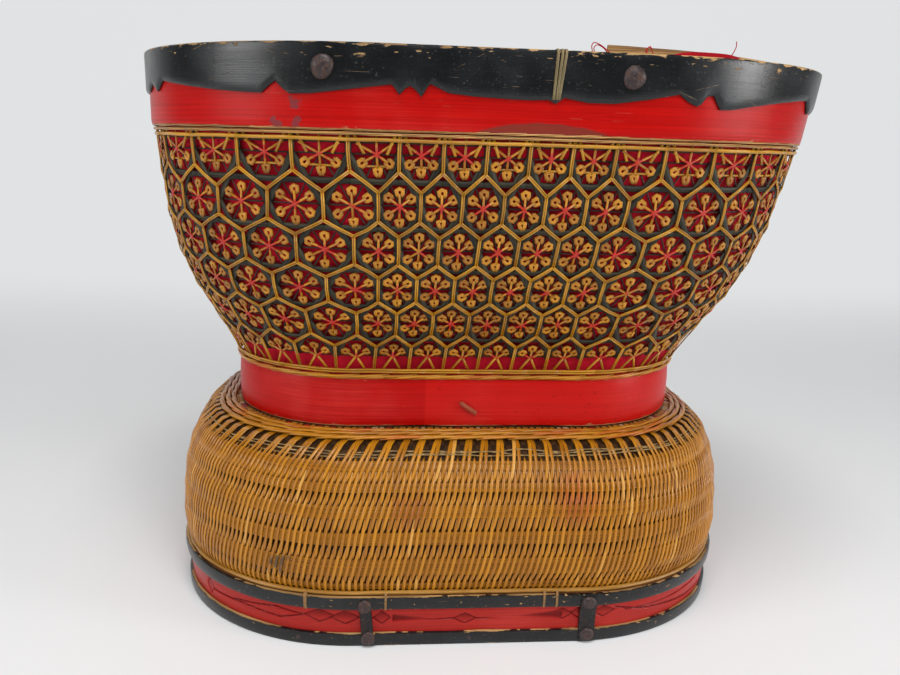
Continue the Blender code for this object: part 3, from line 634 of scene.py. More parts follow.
def off_wall(section, climbs, lift):
    """Radii and heights of places on a section, lifted square off the wall."""
    along = climbs_of(section)
    rise = unit(np.gradient(section, axis=0))
    radii, heights = (np.interp(climbs, along, section[:, part]) for part in (0, 1))
    return (
        radii + lift * np.interp(climbs, along, rise[:, 1]),
        heights - lift * np.interp(climbs, along, rise[:, 0]),
    )


def fanned_ways(places, radius, height):
    """The ways of stakes that keep their share of each level's own outline."""
    share, radius = np.broadcast_arrays(places / fan_length, radius)
    left = np.abs(share) * (4 * (core_half_length + core_half_depth) + 2 * math.pi * radius)
    quarter = math.pi / 2 * radius
    shrink = waist_radius / radius
    way = np.minimum(left, core_half_length)
    way = way + np.clip(left - core_half_length, 0, quarter) * shrink
    left = left - core_half_length - quarter
    way = way + np.clip(left, 0, 2 * core_half_depth)
    left = left - 2 * core_half_depth
    way = way + np.clip(left, 0, quarter) * shrink + np.clip(left - quarter, 0, None)
    return np.sign(share) * way


def wall_guide(name, section, half_length, ways_at):
    """A helper surface to lay strands on. It knows its flat place and directions at each point."""
    spare_length, spare, step = 0.04, 0.005, 0.001
    reach = half_length + spare_length
    places = np.linspace(-reach, reach, round(reach / step))[:, None]
    climbs = climbs_of(section)
    below = section[:1] - unit(section[1:2] - section[:1]) * spare
    above = section[-1:] + unit(section[-1:] - section[-2:-1]) * spare
    section = np.concatenate([below, section, above])
    climbs = np.concatenate([[-spare], climbs, [climbs[-1] + spare]])
    points = stand_at(ways_at(places, section[:, 0], section[:, 1]), section[:, 0], section[:, 1])
    along = unit(np.gradient(points, axis=0))
    outward = unit(np.cross(along, np.gradient(points, axis=1)))
    flat = np.broadcast_arrays(places * flat_scale + 0.5, climbs * flat_scale + 0.05, 0.0)
    index = np.arange(points[..., 0].size).reshape(points.shape[:2])
    faces = np.stack([index[:-1, :-1], index[1:, :-1], index[1:, 1:], index[:-1, 1:]], -1).reshape(-1, 4)
    mesh = bpy.data.meshes.new(name)
    mesh.from_pydata(points.reshape(-1, 3).tolist(), [], faces.tolist())
    for label, vectors in (("flat place", np.stack(flat, -1)), ("along", along), ("outward", outward)):
        mark_points(mesh, label, vectors, "FLOAT_VECTOR")
    return put_in_scene(name, mesh)


def scaled(tree, vector, factor):
    return add(tree, "ShaderNodeVectorMath", {0: vector, "Scale": factor}, operation="SCALE").outputs[0]


def build_laying():
    """Repeats a flat cell of strands and bends the row round the basket onto a wall's guide."""
    tree = bpy.data.node_groups.new("laid on the wall", "GeometryNodeTree")
    kinds = {
        "Cell": "Geometry", "Count": "Int", "Pitch": "Float", "Start": "Float", "Wall": "Object",
        "Uneven": "Float", "Seed": "Int", "Finish": "Material",
    }
    keys = {}
    for socket, kind in kinds.items():
        made = tree.interface.new_socket(socket, in_out="INPUT", socket_type="NodeSocket" + kind)
        keys[socket] = made.identifier
    tree.interface.new_socket("Laid", in_out="OUTPUT", socket_type="NodeSocketGeometry")
    given = tree.nodes.new("NodeGroupInput").outputs
    start = add(tree, "ShaderNodeCombineXYZ", {0: given["Start"]}).outputs[0]
    step = add(tree, "ShaderNodeCombineXYZ", {0: given["Pitch"]}).outputs[0]
    line = add(tree, "GeometryNodeMeshLine", {0: given["Count"], 2: start, 3: step}, mode="OFFSET").outputs[0]
    copies = add(tree, "GeometryNodeInstanceOnPoints", {0: line, 2: given["Cell"]}).outputs[0]
    strands = add(tree, "GeometryNodeRealizeInstances", {0: copies}).outputs[0]
    island = tree.nodes.new("GeometryNodeInputMeshIsland").outputs[0]
    chance = add(tree, "FunctionNodeRandomValue", {7: island, 8: given["Seed"]}, data_type="FLOAT").outputs[1]
    strands = add(
        tree, "GeometryNodeStoreNamedAttribute", {0: strands, "Name": "shade", "Value": chance},
        data_type="FLOAT", domain="POINT",
    ).outputs[0]
    place = tree.nodes.new("GeometryNodeInputPosition").outputs[0]
    flat = aim(tree, "MULTIPLY_ADD", place, (flat_scale, flat_scale, 0.0), (0.5, 0.05, 0.0))
    wall = add(tree, "GeometryNodeObjectInfo", {0: given["Wall"]}).outputs[4]

    def named(label):
        return add(tree, "GeometryNodeInputNamedAttribute", {0: label}, data_type="FLOAT_VECTOR").outputs[0]

    def read(value):
        sample = {0: wall, 1: value, 2: named("flat place"), 3: flat}
        return add(tree, "GeometryNodeSampleUVSurface", sample, data_type="FLOAT_VECTOR").outputs[0]

    spot, along, outward = read(place), read(named("along")), read(named("outward"))
    upright = aim(tree, "CROSS_PRODUCT", outward, along)
    across = split_place(tree, named("across"))
    lift = split_place(tree, place)[2]
    noise = cloud(tree, spot, 120.0, 1.0, 1)
    waver = scaled(tree, aim(tree, "SUBTRACT", noise, (0.5, 0.5, 0.5)), given["Uneven"])
    moved = aim(tree, "ADD", spot, waver)
    for direction, amount in ((along, across[0]), (upright, across[1]), (outward, lift)):
        moved = aim(tree, "ADD", moved, scaled(tree, direction, amount))
    strands = add(tree, "GeometryNodeSetPosition", {0: strands, "Position": moved}).outputs[0]
    strands = add(tree, "GeometryNodeRemoveAttribute", {0: strands, "Name": "across"}).outputs[0]
    strands = add(tree, "GeometryNodeRealizeInstances", {0: strands}).outputs[0]
    strands = add(tree, "GeometryNodeSetMaterial", {0: strands, "Material": given["Finish"]}).outputs[0]
    tree.links.new(strands, tree.nodes.new("NodeGroupOutput").inputs[0])
    return tree, keys


laying, laying_keys = build_laying()


class Cell:
    """A flat pattern of strands: places are (way, climb, lift), widths stay true when it is laid."""

    def __init__(self):
        self.places, self.across, self.lay, self.soot, self.bloom, self.faces = [], [], [], [], [], []

    def strand(self, centre, width, lift, thickness=0.0006, shift=0.0, soot=0.0, middle=None):
        """A strip along points of (way, climb); width, lift and painted shade may change along it."""
        centre = np.array(centre, float)
        count = len(centre)
        width, lift, soot = (np.broadcast_to(value, count) for value in (width, lift, soot))
        ahead = unit(np.gradient(centre, axis=0) if count > 2 else np.repeat(centre[1:] - centre[:1], 2, 0))
        run = np.append(0, np.cumsum(np.hypot(*np.diff(centre, axis=0).T)))
        start = len(self.places)
        for spot in range(count):
            side = np.array([ahead[spot, 1], -ahead[spot, 0]])
            for share, drop in ((-0.5, thickness), (-0.34, 0), (0.34, 0), (0.5, thickness)):
                self.places.append((*centre[spot], lift[spot] - drop))
                self.across.append((*(side * (share * width[spot] + shift)), 0.0))
                self.lay.append((run[spot], share * width[spot]))
                self.soot.append(soot[spot])
                self.bloom.append((centre[spot] - middle) if middle is not None else (1.0, 1.0))
        for spot in range(count - 1):
            here, after = start + 4 * spot, start + 4 * spot + 4
            for corner in range(4):
                following = (corner + 1) % 4
                self.faces.append((here + corner, here + following, after + following, after + corner))
        last = start + 4 * (count - 1)
        self.faces.append((start + 3, start + 2, start + 1, start))
        self.faces.append((last, last + 1, last + 2, last + 3))

    def small(self, centre, offsets, width, lift, soot, middle):
        """A short strip whose whole shape keeps its true size: offsets in metres from one centre."""
        offsets = np.array(offsets, float)
        start = len(self.places)
        self.strand(np.array(centre) + offsets, width, lift, 0.0007, 0.0, soot, middle)
        for spot in range(len(offsets)):
            for corner in range(4):
                number = start + 4 * spot + corner
                across = self.across[number]
                self.places[number] = (*centre, self.places[number][2])
                self.across[number] = (across[0] + offsets[spot, 0], across[1] + offsets[spot, 1], 0.0)

    def lay_round(self, name, wall, count, pitch, start, finish, uneven, seed):
        """Lay copies of the cell on a wall with the node tree, and give the plain mesh."""
        mesh = bpy.data.meshes.new(name)
        mesh.from_pydata(self.places, [], self.faces)
        mark_points(mesh, "across", self.across, "FLOAT_VECTOR")
        mark_points(mesh, "bloom", [(*place, 0.0) for place in self.bloom], "FLOAT_VECTOR")
        # Each point's painted shade darkens the strip where it goes under other strands.
        mark_points(mesh, "soot", self.soot)
        write_lay(mesh, np.array(self.lay)[points_of_corners(mesh)])
        holder = put_in_scene(name, mesh)
        modifier = holder.modifiers.new("laid", "NODES")
        modifier.node_group = laying
        values = {
            "Count": count, "Pitch": pitch, "Start": start, "Wall": wall, "Uneven": uneven, "Seed": seed,
            "Finish": finish,
        }
        for socket, value in values.items():
            modifier[laying_keys[socket]] = value
        graph = bpy.context.evaluated_depsgraph_get()
        laid = bpy.data.meshes.new_from_object(holder.evaluated_get(graph), depsgraph=graph)
        bpy.data.objects.remove(holder)
        laid.shade_smooth()
        return laid


def woven_golden(name, light, dark, roughness, dyed=None):
    """Varnished split bamboo of the weave: a random tone for each strand, fibres, and painted shade where
    strands go under others.
    """
    material, tree, shader = new_material(name, roughness, 0.48)
    place = object_place(tree)
    grain = fill_group(tree, fibre_grain, {
        "Place": uv_place(tree, "lay"), "Fibre length": 0.012, "Fibre width": 0.0004,
    })
    shade = point_share(tree, "shade")
    tone = plus(tree, times(tree, shade, 0.6), times(tree, grain[0], 0.4))
    shown = mix(tree, tone, dark, light)
    smoke = ramp(tree, cloud(tree, place, 22.0, 3.0), 0.52, 0.75)
    shown = mix(tree, times(tree, smoke, 0.35), shown, colour(124, 70, 14))
    if dyed:
        shown = dyed(tree, shown, place, shade)
    # Painted shade: the strand is darkened to near black where it goes under the weave or into a gap.
    soot = point_share(tree, "soot")
    shown = mix(tree, soot, shown, colour(38, 20, 6))
    paint(tree, shader, shown, plus(tree, roughness - 0.06, times(tree, grain[0], 0.16)))
    raise_surface(tree, shader, grain[1], 0.5, 0.0003)
    return material


bulb_section = smooth_wall(bulb_points, 0.003)
bulb_climbs = climbs_of(bulb_section)
bulb_guide = wall_guide("bulb guide", bulb_section, fan_length / 2, fanned_ways)


def bulb_climb(height):
    return float(np.interp(height, bulb_section[:, 1], bulb_climbs))


def shoulder_climb(radius):
    return float(np.interp(-radius, -bulb_section[:, 0], bulb_climbs))


stake_pitch = fan_length / stake_count
middle_climb = bulb_climb(0.075)


def stake_line(start, climbs, band):
    """A stake leans to the right as it rises, and those of the even bands lean more."""
    climbs = np.asarray(climbs)
    lean = stake_slant * (climbs - middle_climb)
    if band % 2 == 0:
        lean = lean + even_band_slant * (climbs - climbs.mean())
    return np.stack([start + lean, climbs], -1)


stakes = Cell()
# The last value of a tip and of a slot is painted shade: a stake is painted dark where it dives under the
# weft.
stake_tip = (0.0003, -0.0011, 0.95)
stake_slot = (0.0013, -0.0001, 0.35)
last_band = len(weft_bands) - 1


def seen_stake(climb, lift, soot=0.0):
    """A row of a stake where it lies over the weft: its climb, width, lift and painted shade."""
    return climb, stake_width, lift, soot


for band, (band_top, band_base) in enumerate(weft_bands[1:], 1):
    top, base = bulb_climb(band_top), bulb_climb(band_base)
    high_end = bulb_climb(weft_bands[band - 1][1]) + weft_gap
    rows = [
        (high_end, *stake_tip), (high_end - 0.0016, *stake_slot), seen_stake(top + 0.0024, 0.0002),
        seen_stake(top, 0.0004), seen_stake((top + base) / 2, 0.0007), seen_stake(base, 0.0004),
    ]
    if band < last_band:
        low_end = bulb_climb(weft_bands[band + 1][0]) - weft_gap
        low_slot = low_end + 0.0018
        rows += [seen_stake(low_slot + 0.0022, 0.0002), (low_slot, *stake_slot), (low_end, *stake_tip)]
    else:
        # By the foot hoop the stake's end is painted a little darker: painted shade.
        rows += [seen_stake(bulb_climb(stake_foot), -0.0002, 0.3)]
    climbs, widths, lifts, soots = np.array(rows).T
    for number in range(3):
        offset = (number + 0.5 * (band % 2)) * stake_pitch
        stakes.strand(stake_line(offset, climbs, band), widths, lifts, soot=soots)
open_row_top = shoulder_climb(open_row_radius)
top, base = bulb_climb(weft_bands[0][0]), bulb_climb(weft_bands[0][1])
low_end = bulb_climb(weft_bands[1][0]) - weft_gap
for number, top_shift in enumerate((0.0021, 0.0002, None)):
    offset = number * stake_pitch
    rows = [
        (low_end, *stake_tip), (low_end + 0.0018, *stake_slot), seen_stake(low_end + 0.0042, 0.0002),
        seen_stake(base, 0.0004), seen_stake((base + top) / 2, 0.0006),
    ]
    line = stake_line(offset, [climb for climb, *rest in rows] + [top], 0)
    # The ends' last values are painted shade, darkest where the stake dives under the shoulder rows.
    if top_shift is None:
        line = np.concatenate([line, line[-1:] + [[0.0003, 0.0035]]])
        ends = [(stake_width, 0.0003, 0.1), (0.0002, -0.0008, 0.6)]
    else:
        lean = stake_slant * (open_row_top - middle_climb)
        end = [[offset + lean + 0.0012 + top_shift, open_row_top + 0.004]]
        line = np.concatenate([line, (line[-1:] * 0.4 + np.array(end) * 0.6), end])
        ends = [(stake_width, 0.0004, 0.0), (0.0025, 0.0, 0.0), (0.0025, -0.0008, 0.3)]
    widths, lifts, soots = np.array([rest for climb, *rest in rows] + ends).T
    stakes.strand(line, widths, lifts, soot=soots)


def stained(tree, shown, place, shade):
    """Two reddish patches and a grey one on the front, and a few paler stakes."""
    drift = times(tree, cloud(tree, place, 90.0, 3.0), 0.03)
    for middle, size, soft, stain, strength in (
        ((0.050, -0.129, 0.088), 0.018, 0.018, colour(168, 56, 14), 0.45),
        ((-0.046, -0.130, 0.084), 0.014, 0.018, colour(150, 62, 16), 0.4),
        ((-0.1185, -0.1236, 0.0522), 0.0175, 0.004, colour(50, 47, 42), 0.85),
    ):
        spot = distance_from(tree, place, middle)
        patch = minus(tree, 1.0, ramp(tree, plus(tree, spot, drift), size, size + soft))
        shown = mix(tree, times(tree, patch, strength), shown, stain)
    pale = times(tree, ramp(tree, shade, 0.96, 0.99), 0.3)
    return mix(tree, pale, shown, colour(232, 186, 110))


stake_finish = woven_golden("bulb stakes", colour(200, 134, 22), colour(142, 84, 6), 0.25, stained)
stake_piece = show("bulb_stakes", stakes.lay_round(
    "bulb stakes", bulb_guide, stake_count // 3, 3 * stake_pitch, -fan_length / 2, stake_finish, 0.0005, 4,
), stake_finish)
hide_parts("lower_body")

# Weft of the bulb
# Bands of fine round weft, twined close between the stakes, and the plaited wall behind them, which
# goes down inside the foot and up inside the neck.
weft_ways = ways_round(0.003)
weft_parts = []
for band_top, band_base in weft_bands:
    top, base = bulb_climb(band_top) + 0.0004, bulb_climb(band_base) - 0.0004
    ribs = max(4, round((top - base) / weft_pitch))
    climbs = np.linspace(base, top, 2 * ribs + 1)
    lifts = -0.0003 + 0.00022 * (np.arange(len(climbs)) % 2)
    outer_face = off_wall(bulb_section, climbs, lifts)
    inner_face = off_wall(bulb_section, np.array([top, (top + base) / 2, base]), -0.0013)
    radii, heights = (np.concatenate(pair) for pair in zip(outer_face, inner_face))
    weft_parts.append(carry_round("weft", weft_ways, radii, heights, math.radians(120)))


def join_meshes(name, meshes):
    """One mesh of several, each on its own island."""
    holders = [put_in_scene(name, mesh) for mesh in meshes]
    with bpy.context.temp_override(active_object=holders[0], selected_editable_objects=holders):
        bpy.ops.object.join()
    mesh = holders[0].data
    bpy.data.objects.remove(holders[0])
    return mesh


def weft_finish(name):
    """Fine twined weft: each rib crosses the stakes behind it in short soft humps."""
    material, tree, shader = new_material(name, 0.42, 0.25)
    place = object_place(tree)
    lay = split_place(tree, uv_place(tree, "lay"))
    rib = calc(tree, "FLOOR", calc(tree, "DIVIDE", lay[1], weft_pitch))
    phase = plus(tree, times(tree, lay[0], 2 * math.pi / weft_hump_pitch), times(tree, rib, math.pi))
    hump = plus(tree, 0.5, times(tree, calc(tree, "SINE", phase), 0.5))
    rows = cloud(tree, aim(tree, "MULTIPLY", place, (12.0, 12.0, 1800.0)), 1.0, 2.0)
    # The humps are painted lighter than the dips between them: painted light and shade of the ribs' relief.
    tone = plus(tree, times(tree, rows, 0.9), times(tree, hump, 0.25))
    shown = mix(tree, ramp(tree, tone, 0.25, 0.9), colour(92, 50, 4), colour(186, 122, 14))
    paint(tree, shader, shown)
    raise_surface(tree, shader, hump, 0.6, 0.0004)
    return material


weft_material = weft_finish("bulb weft")
weft_piece = show("bulb_weft", join_meshes("bulb weft", weft_parts), weft_material)
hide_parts("lower_body")

wall_climbs = np.linspace(0, bulb_climbs[-1] - 0.004, 40)
wall_radii, wall_heights = off_wall(bulb_section, wall_climbs, -0.0016)
foot_line = np.linspace(0.003, foot_band_height, 8)
collar_line = np.linspace(shoulder_top + 0.0008, collar_top, 6)
wall_thickness = 0.0009
outer_radii = np.concatenate([foot_outer(foot_line) - 0.0026, wall_radii, np.full(6, neck_radius - 0.0002)])
outer_heights = np.concatenate([foot_line, wall_heights, collar_line])
wall_section = np.stack([outer_radii, outer_heights], -1)
inner_radii, inner_heights = off_wall(wall_section, climbs_of(wall_section), -wall_thickness)
wall_mesh = carry_round(
    "bulb wall", ways_round(0.004), np.concatenate([outer_radii, inner_radii[::-1]]),
    np.concatenate([outer_heights, inner_heights[::-1]]),
)


def plaited_brown(name, light, dark):
    """A dark plaited wall: short over-and-under steps of split bamboo."""
    material, tree, shader = new_material(name, 0.6, 0.15)
    lay = split_place(tree, uv_place(tree, "lay"))
    wide = calc(tree, "SINE", times(tree, lay[0], 2 * math.pi / 0.006))
    tall = calc(tree, "SINE", times(tree, lay[1], 2 * math.pi / 0.004))
    step = ramp(tree, times(tree, wide, tall), -0.3, 0.3)
    grime = cloud(tree, object_place(tree), 60.0, 3.0)
    tone = times(tree, plus(tree, 0.4, times(tree, step, 0.6)), grime)
    paint(tree, shader, mix(tree, tone, dark, light))
    raise_surface(tree, shader, step, 0.5, 0.0005)
    return material


# The bulb wall's near-black colours are painted shade: the dim inside seen through the slots between the
# stakes.
wall_material = plaited_brown("bulb wall", colour(84, 52, 20), colour(14, 7, 3))
bulb_wall = show("bulb_wall", wall_mesh, wall_material)
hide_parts("lower_body")

# Shoulder rows
# Three rows of golden twining lie on the shoulder, over the ends of the stakes, and short stub ends,
# some of them red, show between the rows and the waist band. Three thin threads run behind the open row.
shoulder = Cell()
float_count = 48
float_pitch = fan_length / float_count
float_places = np.linspace(-1, 1, 9)


def float_line(middle, pitch, climb, rise):
    """A float lies almost a pitch to either side of its middle, and rises a little along it."""
    return np.stack([(middle + float_places * 0.95) * pitch, climb + float_places * rise], -1)


for row, radius in enumerate((0.0815, 0.0850, 0.0887)):
    climb = shoulder_climb(radius)
    for strand in range(2):
        line = float_line(0.33 * row + 0.5 * strand, float_pitch, climb + (0.5 - strand) * 0.0007, 0.0009)
        # The floats' ends are painted dark: painted shade where they go under.
        shoulder.strand(
            line, 0.0007 + 0.0015 * (1 - float_places ** 2),
            0.0011 - 0.0016 * float_places ** 2 + strand * 0.0002, 0.0009, soot=0.5 * float_places ** 8,
        )


def stub_dye(tree, shown, place, shade):
    red = times(tree, ramp(tree, shade, 0.8, 0.86), 0.5)
    return mix(tree, red, shown, colour(170, 44, 20))


twine_finish = woven_golden("golden twining", colour(212, 148, 34), colour(150, 90, 8), 0.3, stub_dye)
shoulder_rows = shoulder.lay_round(
    "shoulder rows", bulb_guide, float_count, float_pitch, -fan_length / 2, twine_finish, 0.0007, 9,
)
stubs = Cell()
stub_groups = 50
stub_climb = shoulder_climb(0.0775)
for number, width in enumerate((0.0036, 0.0026, 0.0042, 0.003)):
    stub_way = (number + 0.5) * fan_length / (4 * stub_groups)
    stub_line = [(stub_way, stub_climb - 0.0025), (stub_way + 0.0004, stub_climb + 0.003)]
    # The stub's upper end is painted dark: painted shade under the waist band.
    stubs.strand(stub_line, width, -0.0004, 0.0008, soot=[0.0, 0.4])


def stub_colours(tree, shown, place, shade):
    red = mix(tree, ramp(tree, shade, 0.62, 0.64), shown, colour(150, 20, 14))
    return mix(tree, ramp(tree, shade, 0.82, 0.84), red, colour(196, 160, 118))


stub_finish = woven_golden("stub ends", colour(206, 142, 46), colour(150, 84, 20), 0.45, stub_colours)
stub_row = stubs.lay_round(
    "stub ends", bulb_guide, stub_groups, fan_length / stub_groups, -fan_length / 2, stub_finish, 0.0003, 5,
)
shoulder_piece = show("shoulder_rows", shoulder_rows, twine_finish)
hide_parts("shoulder_twine")
stub_piece = show("stake_stub_ends", stub_row, stub_finish)
thread_radius = 0.0004
thread_turn = np.linspace(0, 2 * math.pi, 7)[:-1]
thread_ways = ways_round(0.003)
threads = []
for number, height in enumerate((0.1120, 0.1135, 0.1146)):
    behind = -0.0009 - 0.0002 * number
    middle_radius, middle_height = off_wall(bulb_section, np.array([bulb_climb(height)]), behind)
    sway = wander(thread_ways, 0.012, 0.0003, 21 + number)[:, None]
    sag = wander(thread_ways, 0.02, 0.0012, 31 + number)[:, None]
    threads.append(carry_round(
        "inner thread", thread_ways, middle_radius + thread_radius * np.cos(thread_turn) + sway,
        middle_height + thread_radius * np.sin(thread_turn) + sag,
    ))
thread_finish = plaited_brown("inner thread", colour(200, 170, 116), colour(96, 70, 36))
thread_piece = show("inner_threads", join_meshes("inner threads", threads), thread_finish)

bpy.data.objects.remove(bulb_guide)

# Waist band
# A bamboo band bent round the neck and lacquered red, a little lighter past its joint at the front.
# It covers the place where the close weave ends and the open net begins.
waist_bottom = 0.1225
waist_band_thickness = 0.0025
waist_rows_up = 12
band_heights = np.linspace(waist_bottom, waist_top, waist_rows_up)
band_crown = np.sin(np.linspace(0, math.pi, waist_rows_up)) ** 0.5
waist_ways = ways_round(0.002)
outer = waist_radius - 0.0007 + 0.0010 * band_crown + wander(waist_ways, 0.03, 0.0002, 31)[:, None]
inner = np.full((len(waist_ways), 2), waist_radius - waist_band_thickness + 0.0004)
edge_ripple = wander(waist_ways, 0.018, 0.00035, 32)[:, None]
outer_heights = band_heights + edge_ripple * np.linspace(1, -1, waist_rows_up)
inner_heights = np.array([waist_top, waist_bottom]) + edge_ripple * [-1, 1]
waist_mesh = carry_round(
    "waist band", waist_ways, np.concatenate([outer, inner], 1),
    np.concatenate([outer_heights, inner_heights], 1),
)
waist_piece = show(
    "waist_band_dressed", waist_mesh,
    red_lacquer("waist band lacquer", waist_bottom + 0.0002, waist_top - 0.0002, step_way=-0.026),
)
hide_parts("waist_band")

# Open-work net
# The upper basket is plaited in the open six-sided way: wide and narrow black splints cross in three
# directions, a pair of golden splints follows each hexagon, and a golden flower is knotted in every
# opening, its middle dyed red. Forty columns go round, and every other row lies half a column aside.
rim_bottom = 0.292
rim_foot_radius = 0.133
upper_shares = (
    (0, 0), (0.08, 0.075), (0.2, 0.29), (0.33, 0.515), (0.48, 0.7), (0.65, 0.845), (0.82, 0.922), (1, 1),
)
flower_row_shares = (0.918, 0.75, 0.593, 0.439, 0.284, 0.101)
net_columns = 40
splint_width = 0.00088
splint_pair_pitch = 0.00096
black_splint_width = 0.0040
level_splint_width = 0.0034
thin_splint_width = 0.00085
corner_gap = 0.0006
net_section = smooth_wall([
    (waist_radius + (rim_foot_radius - waist_radius) * out, waist_top + (rim_bottom - waist_top) * share)
    for share, out in upper_shares
], 0.004)
net_climbs = climbs_of(net_section)
whole_climb = float(net_climbs[-1])
column_pitch = 2 * half_way_round / net_columns
half_column = column_pitch / 2
flower_climbs = [share * whole_climb for share in flower_row_shares]
net_low, net_high = 0.0066, whole_climb - 0.0050
settled_columns = np.array([0, 21.8, 43.7, 65.8, 82.4, 99.6, 119.0, 140.0, 161.5, 183.0, 204.2]) * 0.001


def column_ways(places, radii, heights):
    """Columns stand wider apart on the flat front, near the mouth, than where the plan begins to turn."""
    knots = np.concatenate([settled_columns, 2 * settled_columns[-1] - settled_columns[-2::-1]])
    knots *= half_way_round / knots[-1]
    left = np.abs(places)
    table = np.interp(left, np.arange(21) * column_pitch, knots) + np.clip(left - half_way_round, 0, None)
    levels = [0.151, 0.187, 0.208, 0.230, 0.253, 0.282, 0.292]
    strength = np.interp(heights, levels, [-0.3, -0.3, -0.15, 0.23, 0.6, 1.0, 1.05])
    drift = np.interp(heights, levels, [0.0036, 0.0034, 0.0022, 0.0021, 0.0019, 0.0005, 0.0003])
    return np.sign(places) * (left + (table - left) * strength) + drift


net_guide = wall_guide("net guide", net_section, half_way_round, column_ways)


def through(start, end, count):
    return np.linspace(start, end, count)


black_splints, golden_edges, flowers = Cell(), Cell(), Cell()


def splint_pair(line, lift):
    """Two golden splints side by side, one a little over the other."""
    for side in (-0.5, 0.5):
        lifts = np.asarray(lift) + 0.00006 * side
        golden_edges.strand(line, splint_width, lifts, 0.0007, side * splint_pair_pitch)


row_gaps = list(zip(flower_climbs, flower_climbs[1:]))


def zigzag_ends(gap):
    """Climbs of the upper and lower corners of the golden zigzag between two rows of flowers."""
    upper, lower = row_gaps[gap]
    high, low = (0.32, 0.72) if gap == 0 else (1 / 3, 2 / 3)
    return upper - high * (upper - lower), upper - low * (upper - lower)


for gap, (upper, lower) in enumerate(row_gaps):
    centre = (gap % 2) * half_column
    tail, head = zigzag_ends(gap)
    middle_level = (tail + head) / 2
    level_line = through((centre - half_column, middle_level), (centre + half_column, middle_level), 5)
    black_splints.strand(level_line, level_splint_width, -0.0011, 0.0005)
    for side in (-1, 1):
        outer_way = centre + side * half_column
        wide_line = through((outer_way, upper), (centre, lower), 6)
        thin_line = through((centre, upper), (outer_way, lower), 6)
        black_splints.strand(wide_line, black_splint_width, -0.0009 - 0.0002 * side, 0.0005)
        black_splints.strand(thin_line, thin_splint_width, -0.0017 - 0.0001 * side, 0.0004)
        splint_pair(
            through((outer_way, tail), (centre, head), 3),
            [0.0001, 0.0004, 0.0002] if side < 0 else [0.0, 0.0003, 0.0001],
        )
    if gap:
        upright_way = centre + half_column
        upright_top = zigzag_ends(gap - 1)[1] + corner_gap
        upright = through((upright_way, upright_top), (upright_way, tail - corner_gap), 3)
        splint_pair(upright, [-0.0002, 0.0001, -0.0002])
for row, climb in enumerate(flower_climbs):
    centre = (row % 2) * half_column
    black_splints.strand(
        through((centre - half_column, climb), (centre + half_column, climb), 5), 0.0009, -0.0019, 0.0004,
    )
top_row, bottom_row = flower_climbs[0], flower_climbs[-1]
for side in (-1, 1):
    black_splints.strand(
        [(side * (half_column - 0.0006), net_high + 0.003), (side * half_column, top_row)], [0.002, 0.0032],
        -0.0009 - 0.0002 * side, 0.0005,
    )
    golden_edges.strand(
        [(side * 0.0080, net_high + 0.0024), (side * 0.0046, top_row + 0.0004)], 0.0016,
        -0.0002 + 0.0003 * side, 0.0006,
    )
    golden_edges.strand(
        [(half_column, bottom_row + 0.001), (half_column + side * 0.0048, net_low + 0.0004)], 0.0014,
        -0.0003 - 0.0002 * side, 0.0006,
    )
top_corner = zigzag_ends(0)[0] - corner_gap
splint_pair(through((half_column, net_high + 0.003), (half_column, top_corner), 3), [0.0, 0.0002, 0.0])
splint_pair(through((0.0, head + corner_gap), (0.0, net_low), 2), [0.0, 0.0])
for level, width, lift in (
    (top_row - 0.0058, 0.0012, -0.0013), (net_high, 0.002, 0.0009), (net_low, 0.0014, 0.0006),
    (net_low - 0.0017, 0.0013, 0.0004),
):
    golden_edges.strand(through((-half_column, level), (half_column, level), 4), width, lift, 0.0006)
under_top = net_high - 0.0016
black_splints.strand(through((-half_column, under_top), (half_column, under_top), 4), 0.0012, -0.0012, 0.0004)


loop_shape = 0.001 * np.array([
    (-2.2, -0.5), (-1.0, -1.4), (1.1, -1.65), (2.0, 0), (1.1, 1.65), (-1.0, 1.4), (-2.2, 0.5),
])
bud_shape = 0.001 * np.array([
    (2.5, 0.2), (0.7, 1.2), (-1.3, 1.6), (-1.7, 0), (-1.3, -1.6), (0.7, -1.2), (2.5, -0.2),
])
loop_widths = [0.0018, 0.0023, 0.0024, 0.0022, 0.0024, 0.0023, 0.0018]
# The loops' inner ends are painted dark: painted shade where they tuck under the spokes.
loop_soots = [0.45, 0.1, 0, 0, 0, 0.1, 0.45]
spoke_width = 0.0013
spoke_reach = 0.0066
spoke_slope = math.radians(38)
petals = (
    (0.0, 0.0074, 90, loop_shape), (0.0, -0.0086, -90, bud_shape), (0.0054, 0.0041, 32, loop_shape),
    (-0.0054, 0.0041, 148, loop_shape), (0.0054, -0.0044, -40, loop_shape),
    (-0.0054, -0.0044, -140, loop_shape),
)


